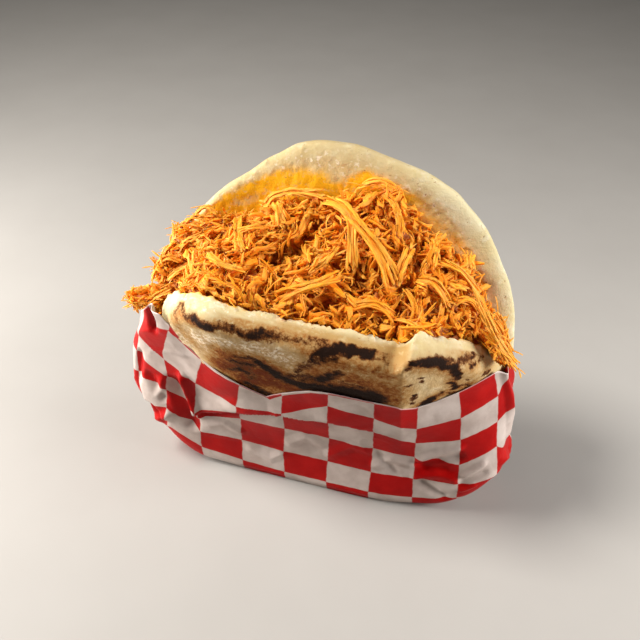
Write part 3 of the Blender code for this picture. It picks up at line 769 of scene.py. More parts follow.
def make_paper():
    """The pouch: one thin waxed sheet with its folds, its cut edge and its printed check."""
    rises = np.concatenate([np.linspace(0, 0.06, 6)[:-1], np.linspace(0.06, 1.0, PAPER_ROWS)])
    # The ring starts at the middle of the back, and its second and third quarters are the front
    angle = math.pi / 2 + 2 * math.pi * (np.arange(PAPER_AROUND) + 0.5) / PAPER_AROUND
    front_part = slice(PAPER_AROUND // 4, 3 * PAPER_AROUND // 4)
    top = paper_top(angle)
    top = top + 0.16 * lumps(np.stack([np.cos(angle) * 50, np.sin(angle) * 50, 0 * angle], 1), 3.5, 2)
    grid = np.array([paper_wall(angle, top * rise) for rise in rises])
    along_ring = np.roll(grid, -1, axis=1) - np.roll(grid, 1, axis=1)
    normals = np.cross(along_ring, np.gradient(grid, axis=0))
    normals /= np.linalg.norm(normals, axis=2)[..., None]
    flat, flat_normals = grid.reshape(-1, 3), normals.reshape(-1, 3)
    x, height = flat[:, 0], flat[:, 2]
    below_edge = np.tile(top, len(rises)) - height
    front = smooth(0.2, -0.1, flat_normals[:, 1])
    crumple = 0.42 * lumps(flat, 15, 1) + 0.30 * np.abs(lumps(flat, 7.5, 2)) - 0.12
    crease = 1 - np.minimum(1, 9 * np.abs(lumps(flat, 11, 3)))
    crumple += 0.28 * crease * smooth(0.0, 0.45, lumps(flat, 18, 4))
    column = check_columns(grid, front_part).ravel()
    relief = paper_relief(x, height, column, front) + crumple * (1.2 - 0.5 * front)
    relief *= smooth(0.0, 4.0, height)
    # The top edge leans in against the bread, most at the two ends
    at_end = smooth(38, 47, np.abs(x - PAPER_X))
    relief -= smooth(9, 0.5, below_edge) * (0.8 * front * (1 - at_end) + 1.6 * at_end)
    outer = (flat + flat_normals * relief[:, None]).reshape(grid.shape)
    inner = outer - normals * SHEET_THICKNESS
    inner[0, :, 2] = SHEET_THICKNESS
    outer[0, :, 2] = 0.0
    paper = closed_rings("paper_wrap_dressed", [*outer, *inner[::-1]])

    def both_sides(values):
        """Values up the outer side and down the inner one, with the middle of each end."""
        rows = values.reshape(len(rises), PAPER_AROUND)
        return np.concatenate([[0], rows.ravel(), rows[::-1].ravel(), [0]])

    lay_check_map(paper.data, both_sides(column), both_sides(print_rows(x, height, flat_normals)))
    store(paper, "edge", both_sides(smooth(0.5, 0.1, below_edge)))
    return paper


# The chicken


# Stations (x, z) of the heap's upper edge on the back leaf
HEAP_EDGE = [(-44, 64), (-41, 70), (-37.8, 74), (-35.5, 75), (-33.8, 74.8), (-31.2, 74), (-27.8, 74.2),
             (-24.4, 75.4), (-22.6, 77.5), (-21, 79.4), (-16.7, 80.2), (-12.5, 80.8), (-7, 81.2),
             (-2.8, 82.2), (0.1, 84.2), (3.8, 85.8), (8.3, 86.4), (11.7, 86.6), (14.7, 84.4), (17.1, 81.6),
             (20.9, 77.4), (25.5, 75), (30.3, 72.6), (33, 70.5), (36, 64), (39, 56)]


def heap_point(x, share):
    """Points on the heap's top: across from the front leaf's rim (0) to the back leaf (1)."""
    front_z = front_rim_z(x) - 0.8
    back_z = along(HEAP_EDGE, x) - 1.2
    front_y = front_inner_y(x, front_z) + FILLING_GAP
    back_y = back_inner_y(x, back_z) - FILLING_GAP
    crown = HEAP_CROWN * 4 * share * (1 - share)
    return np.stack([x + 0 * share, front_y + (back_y - front_y) * share,
                     front_z + (back_z - front_z) * share + crown], axis=-1)


# The lumps of shreds at the pocket's two ends: the middle of each and half its sizes
CLUMPS = [((-49.2, 3.6, 55.6), (6.4, 4.0, 3.6)), ((41.4, 6.6, 54.0), (2.6, 4.4, 5.2)),
          ((-41.6, 13.0, 68.6), (3.2, 4.0, 4.6)), ((-44.9, 8.3, 62.7), (3.5, 3.6, 4.0))]

# Straight out of the heap's sloping top
HEAP_UP = Vector((0, -0.45, 0.9)).normalized()

# Hollows between the shreds: x, share across the heap, width and depth
HOLLOWS = [(-14, 0.42, 3.4, 6.5), (-9, 0.52, 3.0, 4.5), (7, 0.32, 2.4, 5.5), (0, 0.12, 2.2, 4.5),
           (-27, 0.4, 2.4, 5.0), (29, 0.9, 2.4, 4.5), (25, 0.25, 2.4, 4.0), (15, 0.55, 2.0, 4.0),
           (-21, 0.62, 2.2, 4.5), (19, 0.72, 2.0, 3.5)]


def heap_dip(x, share):
    """How far the heap's core lies below its top."""
    dip = 1.6 + 1.0 * smooth(0.0, 0.2, share) + 2.5 * smooth(-33, -39, x)
    for hx, hs, width, depth in HOLLOWS:
        dip = dip + depth * bell(hx, width, x) * bell(hs, 0.09, share)
    return dip


def make_core():
    """The craggy mass under the showing shreds, down in the pocket, dark with painted shade."""
    across = np.linspace(0, 1, CORE_ACROSS)
    down = np.linspace(0, 1, CORE_DOWN + 1)[1:]
    rings = []
    for x in np.linspace(FILLING_LEFT, FILLING_RIGHT, CORE_SLICES):
        here = np.full(CORE_ACROSS, x)
        top = heap_point(here, across)
        craggy = 1.5 * lumps(top, 3.0, 1) + 0.8 * lumps(top, 1.3, 2)
        top[:, 2] -= heap_dip(here, across) + 1.4 * (1 - smooth(0, 0.12, across)) - craggy
        z = top[:, 2]
        top[:, 1] = np.clip(top[:, 1], front_inner_y(x, z) + SKIN_GAP, back_inner_y(x, z) - SKIN_GAP)
        depth_share = math.sqrt(max(0.0, 1 - ((x - DISC_X) / CORE_RADIUS) ** 2))
        bottom = CORE_END_Z - (CORE_END_Z - CORE_FOOT_Z) * depth_share
        side = here[:CORE_DOWN]
        back_z = z[-1] + (bottom - z[-1]) * down
        back = np.stack([side, back_inner_y(x, back_z) - FILLING_GAP, back_z], axis=1)
        front_z = z[0] + (bottom - z[0]) * down[::-1]
        front = np.stack([side, front_inner_y(x, front_z) + FILLING_GAP, front_z], axis=1)
        rings.append(np.concatenate([top, back, front]))
    core = closed_rings("chicken_core", rings)
    merged(core, [clump(centre, size, 0.55) for centre, size in CLUMPS])
    return core


def clump(centre, size, share):
    """A closed egg-shaped lump, that share of its full size."""
    around = np.linspace(0, 2 * math.pi, CLUMP_AROUND, endpoint=False)
    rings = []
    for t in np.linspace(0.1, math.pi - 0.1, CLUMP_RINGS):
        x = np.full(CLUMP_AROUND, -math.cos(t))
        ring = np.stack([x, np.sin(around) * math.sin(t), np.cos(around) * math.sin(t)], axis=1)
        rings.append(np.array(centre) + ring * size * share)
    return closed_rings("clump", rings)


def spline_points(line, count):
    """Points evenly along a smooth curve through the given ones."""
    control = np.array([tuple(p) for p in line], dtype=float)
    last = len(control) - 1
    path = []
    for s in np.linspace(0, last, count):
        k = min(int(s), last - 1)
        t = s - k
        before, here = control[max(k - 1, 0)], control[k]
        there, after = control[k + 1], control[min(k + 2, last)]
        squared = 2 * before - 5 * here + 4 * there - after
        cubed = 3 * here - before - 3 * there + after
        path.append(0.5 * (2 * here + (there - before) * t + squared * t**2 + cubed * t**3))
    return np.array(path)


def strand_along(line, width, rng, sides, segments, up, flatness=0.6):
    """One strand of meat along a line: a flat sheaf of fibres, ridged lengthwise and torn at both ends."""
    path = spline_points(line, segments + 1)
    phase = rng.uniform(0, 6.28)
    twist = rng.uniform(-0.8, 0.8)
    ridges = [(1.1 if i % 2 else 0.86) * rng.uniform(0.84, 1.14) for i in range(sides)]
    points, strand = [], []
    run = rng.uniform(0, 50)
    for k in range(segments + 1):
        if k:
            run += np.linalg.norm(path[k] - path[k - 1])
        ahead = Vector(path[min(k + 1, segments)] - path[max(k - 1, 0)]).normalized()
        side = ahead.cross(up).normalized()
        over = side.cross(ahead).normalized()
        t = 2 * k / segments - 1
        size = width / 2 * (1 - 0.42 * abs(t) ** 4) * rng.uniform(0.8, 1.18)
        aside, above = rng.uniform(-0.1, 0.1) * width, rng.uniform(-0.1, 0.1) * width
        middle = Vector(path[k]) + side * aside + over * above
        torn = k in (0, segments)
        for i in range(sides):
            around = 2 * math.pi * i / sides + twist * t
            groove = ridges[i] * rng.uniform(0.88, 1.12)
            pull = rng.uniform(-1.3, 0.9) * width * 0.5 if torn else rng.uniform(-0.1, 0.1) * width
            point = middle + side * (size * groove * math.cos(around))
            point += over * (flatness * size * groove * math.sin(around)) + ahead * (pull if k else -pull)
            points.append(tuple(point))
            strand.append((run, abs(2 * i / sides - 1) * width * 1.5 + phase))
    faces = ring_faces(segments + 1, sides)
    faces.append(tuple(range(sides)))
    faces.append(tuple(segments * sides + i for i in reversed(range(sides))))
    return points, faces, strand


def shifted(faces, start):
    """The same faces over points that come later by that many."""
    return [tuple(start + i for i in face) for face in faces]


def add_part(whole, part):
    """Adds the points, faces and strand lengths of a part to those of the whole."""
    points, faces, strand = part
    whole[1].extend(shifted(faces, len(whole[0])))
    whole[0].extend(points)
    whole[2].extend(strand)


def bundle_along(line, width, rng, sides, segments, up, extra, hairs=0):
    """A bundle of strands that lie together and part towards their ends, with a few loose hairs."""
    bundle = ([], [], [])
    add_part(bundle, strand_along(line, width * (0.5 if extra else 1.0), rng, sides, segments, up, 0.7))
    line = [Vector(p) for p in line]
    ahead = (line[-1] - line[0]).normalized()
    side = ahead.cross(up).normalized()
    over = side.cross(ahead)
    path = [Vector(p) for p in spline_points(line, BUNDLE_STEPS + 1)]
    for k in range(extra):
        way = (1 if k % 2 else -1) * rng.uniform(0.3, 1.1)
        spread = rng.uniform(0.1, 0.7) * width
        moved = []
        start, stop = rng.uniform(0, 0.25), rng.uniform(0.7, 1.08)
        for s in np.linspace(start, stop, len(line) + 1):
            step = int(s * BUNDLE_STEPS)
            here, there = path[min(BUNDLE_STEPS, step)], path[min(BUNDLE_STEPS, step + 1)]
            t = abs(2 * s - 1)
            aside = side * way * (0.42 * width + spread * t * t)
            point = here.lerp(there, s * BUNDLE_STEPS - step)
            point += aside + over * rng.uniform(-0.1, 0.4) * width
            moved.append(point)
        thin = width * rng.uniform(0.22, 0.44)
        add_part(bundle, strand_along(moved, thin, rng, max(5, sides - 5), segments, up, 0.8))
    for k in range(hairs):
        s = rng.random()
        root = Vector(spline_points(line, 12)[min(11, int(s * 12))]) + side * rng.uniform(-0.5, 0.5) * width
        way = ahead * rng.choice((-1, 1)) + side * rng.uniform(-0.7, 0.7) + over * rng.uniform(0, 0.6)
        tip = root + way.normalized() * rng.uniform(2.0, 4.5)
        middle = (root + tip) / 2 + over * rng.uniform(0, 0.6)
        add_part(bundle, strand_along([root, middle, tip], rng.uniform(0.3, 0.5), rng, 3, 3, up))
    return bundle


def crisp(mesh):
    """Smooth shading along the fibres, with sharp edges where they are torn or ridged."""
    mesh.shade_smooth()
    mesh.set_sharp_from_angle(angle=math.radians(SHARP_ANGLE))


def lay_strand_map(mesh, strand):
    """Keeps the lengths along and across the strands as a UV map."""
    layer = mesh.uv_layers.new(name="strand")
    layer.data.foreach_set("uv", np.array(strand, dtype=np.float32)[corner_points(mesh)].ravel())


def shred_shape(name, sides, segments, width, length, extra, seed):
    """One shred to be scattered, along X, in millimetres."""
    rng = random.Random(seed)
    bend, wave, arch = rng.uniform(-0.2, 0.2), rng.uniform(-0.08, 0.08), rng.uniform(0.02, 0.14)
    line = []
    for t in (-1, -0.4, 0.3, 1):
        kink = rng.uniform(-0.06, 0.06)
        aside = bend * (t * t - 0.4) + wave * math.sin(4 * t) + kink
        line.append(Vector((t / 2, aside, arch * (0.4 - t * t))) * length)
    points, faces, strand = bundle_along(line, width, rng, sides, segments, Vector((0, 0, 1)), extra)
    mesh = bpy.data.meshes.new(name)
    mesh.from_pydata(points, [], faces)
    turn_faces_out(mesh)
    lay_strand_map(mesh, strand)
    crisp(mesh)
    return bpy.data.objects.new(name, mesh)


def grid_faces(rows, columns, start=0, flipped=False):
    """Quads over an open grid of points."""
    faces = []
    for a in range(rows - 1):
        for b in range(columns - 1):
            i = start + a * columns + b
            face = (i, i + columns, i + columns + 1, i + 1)
            faces.append(face[::-1] if flipped else face)
    return faces


def heap_sheet(name, low, lumps_too):
    """An open sheet over the heap's top, and round the end lumps if asked, for the scatter to stand on."""
    shares = np.linspace(low, SHEET_BACK_SHARE, SHEET_ACROSS)
    points = []
    for x in np.linspace(FILLING_LEFT - 2, FILLING_RIGHT + 1, SHEET_SLICES):
        here = np.full(SHEET_ACROSS, x)
        row = heap_point(here, shares)
        dip = heap_dip(here, shares) - 2.0
        row[:, 2] += SHEET_LIFT - 0.8 * dip + 1.5 * lumps(row, 9, 51) + 0.8 * lumps(row, 4, 52)
        row[:, 2] += 1.1 * (1 - smooth(0.0, 0.16, shares))
        points += row.tolist()
    faces = grid_faces(SHEET_SLICES, SHEET_ACROSS)
    # The heap's two ends, down to the paper
    across = np.linspace(0.08, 0.92, SHEET_END_ACROSS)
    for x in (FILLING_LEFT - 0.6, FILLING_RIGHT + 0.6):
        faces += grid_faces(SHEET_END_DOWN, SHEET_END_ACROSS, len(points), x > 0)
        top_z = heap_point(np.full(SHEET_END_ACROSS, x), across)[:, 2]
        for down in np.linspace(0, 1, SHEET_END_DOWN):
            z = top_z + (SHEET_FOOT_Z - top_z) * down
            front_y, back_y = front_inner_y(x, z), back_inner_y(x, z)
            out = 2.2 * math.sin(math.pi * down) * (1 if x > 0 else -1)
            points += np.stack([x + out + 0 * z, front_y + (back_y - front_y) * across, z], axis=1).tolist()
    for centre, size in CLUMPS if lumps_too else []:
        egg = clump(centre, size, 0.9)
        faces += shifted([face.vertices for face in egg.data.polygons], len(points))
        points += to_drawing(egg.data).tolist()
        bpy.data.objects.remove(egg)
    return new_piece(name, points, faces, closed=False)


class Wiring:
    """A node tree while it is being wired."""

    def __init__(self, tree):
        self.tree = tree

    def node(self, kind, settings=None, inputs=None):
        """A node with its settings, and its inputs by name or number: values, or sockets to link."""
        made = self.tree.nodes.new(kind)
        for key, value in (settings or {}).items():
            setattr(made, key, value)
        for key, value in (inputs or {}).items():
            self.put(made.inputs[key], value)
        return made

    def put(self, socket, value):
        """Gives a socket its value, or links it."""
        if isinstance(value, bpy.types.NodeSocket):
            self.tree.links.new(value, socket)
        else:
            socket.default_value = value

    def math(self, operation, a, b=0.0):
        return self.node("ShaderNodeMath", {"operation": operation}, {0: a, 1: b}).outputs[0]

    def times(self, a, b):
        return self.math("MULTIPLY", a, b)

    def plus(self, a, b):
        return self.math("ADD", a, b)

    def minus(self, a, b):
        return self.math("SUBTRACT", a, b)


class Tree(Wiring):
    """A geometry node tree while it is being wired."""

    def __init__(self, name):
        super().__init__(bpy.data.node_groups.new(name, "GeometryNodeTree"))
        self.tree.is_modifier = True
        for way in ("INPUT", "OUTPUT"):
            self.tree.interface.new_socket("Geometry", in_out=way, socket_type="NodeSocketGeometry")
        self.entry = self.tree.nodes.new("NodeGroupInput")
        self.leave = self.tree.nodes.new("NodeGroupOutput")
        self.named = {}

    def size(self, name, value, kind="NodeSocketFloat"):
        """A named input with its value."""
        socket = self.tree.interface.new_socket(name, in_out="INPUT", socket_type=kind)
        self.named[socket.identifier] = value
        return self.entry.outputs[name]

    def apply(self, obj, name):
        """Runs the tree on an object and returns the result as a plain mesh object."""
        modifier = obj.modifiers.new("scatter", "NODES")
        modifier.node_group = self.tree
        for identifier, value in self.named.items():
            modifier[identifier] = value
        mesh = evaluated_mesh(obj)
        mesh.name = name
        obj.modifiers.remove(modifier)
        return add_object(name, mesh)


def scatter_tree(name, kinds, material, seed, spacing, density, smallest, largest, tilt, depth):
    """Scatters several kinds of shred over a sheet: evenly spread, turned and sized at random, realized."""
    made = Tree(name)
    gap = made.size("Spacing", spacing * MM)
    most = made.size("Density", density / (MM * MM))
    start = made.size("Seed", seed, "NodeSocketInt")
    small = made.size("Smallest", smallest * MM)
    large = made.size("Largest", largest * MM)
    lean = made.size("Tilt", tilt)
    sink = made.size("Depth", depth * MM)
    sheet = made.entry.outputs["Geometry"]
    spread = made.node("GeometryNodeDistributePointsOnFaces", {"distribute_method": "POISSON"},
                       {"Mesh": sheet, "Distance Min": gap, "Density Max": most, "Seed": start})

    def chance(low, high, shift):
        """A random number for each point, from a seed of its own."""
        inputs = {2: low, 3: high, "Seed": made.plus(start, shift)}
        return made.node("FunctionNodeRandomValue", {"data_type": "FLOAT"}, inputs).outputs[1]

    def turned(rotation, turn):
        """A rotation after one more turn of its own, by angles about X, Y and Z."""
        angles = made.node("ShaderNodeCombineXYZ", None, turn).outputs[0]
        inputs = {0: rotation, 1: angles}
        return made.node("FunctionNodeRotateRotation", {"rotation_space": "LOCAL"}, inputs).outputs[0]

    down = made.times(sink, chance(-1.0, 0.35, 3))
    lowered = made.node("ShaderNodeVectorMath", {"operation": "SCALE"},
                        {0: spread.outputs["Normal"], "Scale": down})
    settled = made.node("GeometryNodeSetPosition", None,
                        {"Geometry": spread.outputs["Points"], "Offset": lowered.outputs[0]})
    spun = turned(spread.outputs["Rotation"], {2: chance(-HALF_TURN, HALF_TURN, 6)})
    lean_turn = {0: chance(-HALF_TURN, HALF_TURN, 4), 1: chance(made.times(lean, -1.0), lean, 5)}
    choice = made.node("GeometryNodeCollectionInfo", {"transform_space": "ORIGINAL"},
                       {"Collection": kinds, "Separate Children": True, "Reset Children": True})
    placed = made.node("GeometryNodeInstanceOnPoints", None,
                       {"Points": settled.outputs[0], "Instance": choice.outputs[0], "Pick Instance": True,
                        "Rotation": turned(spun, lean_turn), "Scale": chance(small, large, 7)})
    tone = made.node("GeometryNodeStoreNamedAttribute", {"data_type": "FLOAT", "domain": "INSTANCE"},
                     {"Geometry": placed.outputs[0], "Name": "tone", "Value": chance(0.0, 1.0, 8)})
    real = made.node("GeometryNodeRealizeInstances", None, {"Geometry": tone.outputs[0]})
    finish = made.node("GeometryNodeSetMaterial", None, {"Geometry": real.outputs[0], "Material": material})
    made.put(made.leave.inputs[0], finish.outputs[0])
    return made


def kinds_of_shred(name, count, sides, segments, width, length, extra, seed):
    """Several different shreds in a collection of their own."""
    group = bpy.data.collections.new(name)
    rng = random.Random(seed)
    for k in range(count):
        wide, long = width * rng.uniform(0.7, 1.35), length * rng.uniform(0.6, 1.4)
        shred = shred_shape(f"{name}_{k}", sides, segments, wide, long, k % (extra + 1), seed + k)
        group.objects.link(shred)
    return group


def keep_clear(points):
    """Bends shreds off the leaves: no point goes into the bread."""
    x, y, z = points.T
    front_wall = front_inner_y(x, z) + SHRED_GAP
    under_front = smooth(0.8, -1.2, z - front_rim_z(x)) * smooth(-46, -43, x)
    y = np.where(y < front_wall, y + (front_wall - y) * under_front, y)
    back_wall = back_inner_y(x, z) - SHRED_GAP
    arch = DISC_Z + np.sqrt(np.maximum(0, SHRED_ARCH**2 - (x - DISC_X) ** 2))
    under_back = smooth(1.0, -1.0, z - arch)
    y = np.where(y > back_wall, y + (back_wall - y) * under_back, y)
    return np.stack([x, y, z], axis=1)


def heap_depth(points):
    """How far each point lies below the heap's top, in millimetres."""
    x, y, z = points.T
    inside = np.clip(x, FILLING_LEFT, FILLING_RIGHT)
    front = heap_point(inside, np.zeros_like(x))
    back = heap_point(inside, np.ones_like(x))
    share = np.clip((y - front[:, 1]) / np.maximum(1.0, back[:, 1] - front[:, 1]), 0, 1)
    top = heap_point(inside, share)
    return (top[:, 2] - z) * smooth(-46, -41, x) * smooth(42, 38, x)


# Long bundles that show: points on the way as x, share across the heap and height over it, and the width
LONG_BUNDLES = [
    ([(-7, 0.98, 1.2), (0, 0.76, 3.0), (5, 0.58, 3.4), (11, 0.44, 3.0), (15.5, 0.3, 2.0)], 2.4),
    ([(-2, 0.86, 1.6), (3, 0.64, 3.0), (4.5, 0.45, 2.6), (5.5, 0.33, 1.4)], 2.0),
    ([(-21, 0.84, 0.5), (-19, 0.98, 2.0), (-13, 1.0, 2.6), (-6, 0.97, 2.4)], 2.3),
    ([(-12, 0.06, 0.6), (-7, 0.13, 2.6), (-1, 0.2, 3.2), (3, 0.27, 1.8)], 2.4),
    ([(31.5, 1.0, 1.4), (31.8, 0.85, 2.6), (32.2, 0.68, 2.0)], 2.3),
    ([(25, 0.6, 1.6), (31, 0.57, 2.8), (37, 0.56, 2.2)], 1.9),
    ([(18, 0.62, 1.2), (17, 0.46, 2.8), (16, 0.3, 1.4)], 2.3),
    ([(-26, 0.62, 0.8), (-22, 0.56, 2.4), (-18, 0.62, 1.2)], 1.9),
    ([(-31, 0.3, 1.0), (-26, 0.22, 2.2), (-20, 0.2, 1.0)], 1.9),
    ([(9, 0.9, 0.8), (13, 0.78, 2.4), (15, 0.62, 1.4)], 2.1),
    ([(22, 0.88, 0.6), (23.5, 0.7, 2.4), (22.5, 0.5, 1.2)], 2.1),
    ([(20, 0.4, 0.8), (25, 0.36, 2.6), (29, 0.22, 1.4)], 2.0),
    ([(6, 0.12, 0.4), (12, 0.15, 2.2), (17, 0.12, 1.0)], 1.8),
    ([(30, 0.28, 0.6), (33, 0.34, 2.0), (37, 0.36, 1.0)], 1.7),
    ([(-28, 0.95, 1.0), (-26.5, 0.75, 2.2), (-24, 0.5, 1.6), (-22, 0.36, 1.2)], 2.0),
    ([(-14, 0.62, 0.6), (-16, 0.76, 2.2), (-17, 0.9, 1.4)], 1.8),
    ([(1, 0.5, 0.6), (-1, 0.36, 2.4), (-5, 0.28, 1.2)], 1.8),
    ([(12, 0.95, 1.2), (8, 1.0, 2.6), (3, 1.0, 1.4)], 1.9),
]

# Shreds that spill over the two ends of the pocket: the points along each and its width
SPILLS = [
    ([(-40, 8, 62), (-45, 6.0, 59.4), (-49.5, 4.6, 58.0), (-54, 4.0, 57.2)], 1.5),
    ([(-43, 5, 58), (-48, 3, 55.4), (-53.4, 2.6, 53.8)], 1.4),
    ([(-42, 3.6, 60), (-46, 1.8, 58.0), (-49.5, 1.4, 54.6)], 1.4),
    ([(-44, 6, 57.6), (-49, 5.2, 55.4), (-54, 4.8, 53.0)], 1.5),
    ([(-44.5, 2.6, 56.6), (-49.5, 1.4, 55.4), (-54.5, 2.0, 56.0)], 1.3),
    ([(-38, 10, 66), (-42, 8.6, 63.6), (-45.5, 7.0, 60.6)], 1.7),
    ([(-36, 13, 70), (-39.8, 11.6, 68.2), (-43, 10.4, 65.4)], 1.6),
    ([(-35, 11, 73), (-38.4, 10.4, 71.6), (-40.8, 10, 69.6)], 1.5),
    ([(-36, 7, 66), (-40, 6.0, 64.8), (-43.6, 5, 61.6)], 1.7),
    ([(33.7, 6, 71.4), (37, 5.4, 65.6), (41.5, 4.0, 58.6), (44.6, 3.4, 54.6), (47.0, 2.8, 51.9)], 1.5),
    ([(35, 5.6, 67.5), (39, 4.4, 61.4), (43.2, 3.2, 55.6), (46.2, 2.6, 51.8)], 1.5),
    ([(38, 7.6, 63.4), (42, 7, 58.6), (45.2, 6.2, 53.6)], 1.3),
    ([(37, 5, 60.6), (41, 3.4, 57.6), (43.6, 2.4, 53.8)], 1.2),
    ([(40, 10, 62.5), (42.6, 9.4, 58.5), (44.0, 8.6, 53)], 1.4),
    ([(-36, 15, 72), (-40, 15.4, 73), (-42.8, 15.2, 72), (-44.2, 14.2, 69.4)], 1.7),
    ([(-37, 12.5, 70.5), (-41.2, 13, 71.4), (-44, 12.8, 69.8), (-45, 11.8, 66.6)], 1.6),
    ([(-38, 11, 68), (-42.4, 11, 69), (-45.4, 10.6, 67), (-47, 9.8, 63.4)], 1.7),
    ([(-40, 8, 66), (-44, 8, 66.6), (-47, 7.2, 63.8), (-48.6, 6, 60)], 1.6),
    ([(-35, 16.5, 74), (-38.4, 16.6, 74.5), (-41.0, 16, 73.3), (-42.8, 15.2, 70.8)], 1.6),
    ([(-33.4, 18, 76), (-35.8, 18.2, 77), (-38.2, 18, 76), (-40, 17.6, 73.4)], 1.5),
    ([(-36, 13, 69), (-40.4, 14, 70.4), (-43.8, 14.2, 69), (-45.2, 13.6, 65.6)], 1.6),
    ([(-37, 9.5, 66), (-41.6, 9.8, 67), (-45.2, 9.4, 65), (-47.4, 8.8, 61.6)], 1.6),
]


def make_bundles():
    """The long bundles and the spills, as one piece."""
    lines = []
    for stations, width in LONG_BUNDLES:
        line = []
        for x, share, height in stations:
            on_heap = heap_point(np.array([float(x)]), np.array([share]))[0]
            line.append(Vector(on_heap) + HEAP_UP * (height - 0.6))
        lines.append((line, width))
    lines += [([Vector(p) for p in line], width) for line, width in SPILLS]
    whole, tones = ([], [], []), []
    for number, (line, width) in enumerate(lines):
        rng = random.Random(300 + number)
        segments = 5 * (len(line) - 1)
        bundle = bundle_along(line, width, rng, 12, segments, HEAP_UP, 8 if width > 2.2 else 5, 5)
        add_part(whole, bundle)
        tones += [rng.uniform(0.35, 1.0)] * len(bundle[0])
    points, faces, strand = whole
    bundles = new_piece("chicken_bundles", points, faces)
    store(bundles, "tone", tones)
    lay_strand_map(bundles.data, strand)
    crisp(bundles.data)
    return bundles


def tend(obj):
    """Bends a chicken piece off the bread and notes how far below the heap's top each point lies, for the
    painted shade there.
    """
    points = keep_clear(to_drawing(obj.data))
    set_points(obj, points)
    store(obj, "depth_shade", smooth(-1.5, 4.5, heap_depth(points)))


# Materials


class Finish(Wiring):
    """A material while its nodes are being wired."""

    def __init__(self, name):
        self.material = bpy.data.materials.new(name)
        self.material.use_nodes = True
        super().__init__(self.material.node_tree)
        self.shader = self.tree.nodes["Principled BSDF"]

    def field(self, name):
        """A number kept on the piece's points."""
        return self.node("ShaderNodeAttribute", {"attribute_name": name}).outputs["Fac"]

    def chart(self, name):
        """A UV map of the piece."""
        return self.node("ShaderNodeUVMap", {"uv_map": name}).outputs[0]

    def place(self):
        """Object coordinates in millimetres."""
        place = self.node("ShaderNodeTexCoord").outputs["Object"]
        return self.node("ShaderNodeMapping", None, {"Vector": place, "Scale": [1 / MM] * 3}).outputs[0]

    def cloud(self, where, size, detail=3.0, roughness=0.55):
        """Noise from 0 to 1, with clouds about that many millimetres across."""
        inputs = {"Vector": where, "Scale": 1 / size, "Detail": detail, "Roughness": roughness}
        return self.node("ShaderNodeTexNoise", None, inputs).outputs["Fac"]

    def ramp(self, value, low, high):
        """0 below low and 1 above high, eased."""
        inputs = {"Value": value, "From Min": low, "From Max": high}
        return self.node("ShaderNodeMapRange", {"interpolation_type": "SMOOTHSTEP"}, inputs).outputs[0]

    def mix(self, share, a, b):
        """From colour a to colour b by that share."""
        a, b = [c if isinstance(c, bpy.types.NodeSocket) else (*c, 1.0) for c in (a, b)]
        return self.node("ShaderNodeMix", {"data_type": "RGBA"}, {0: share, 6: a, 7: b}).outputs[2]

    def bump(self, height, strength, distance, normal=None):
        """Relief too fine for the mesh."""
        inputs = {"Height": height, "Strength": strength, "Distance": distance * MM}
        if normal is not None:
            inputs["Normal"] = normal
        return self.node("ShaderNodeBump", None, inputs).outputs[0]

    def finish(self, colour, roughness, normal, **constants):
        """The material, with its shader's inputs."""
        inputs = {"Base_Color": colour, "Roughness": roughness, "Normal": normal, **constants}
        for key, value in inputs.items():
            self.put(self.shader.inputs[key.replace("_", " ")], value)
        return self.material


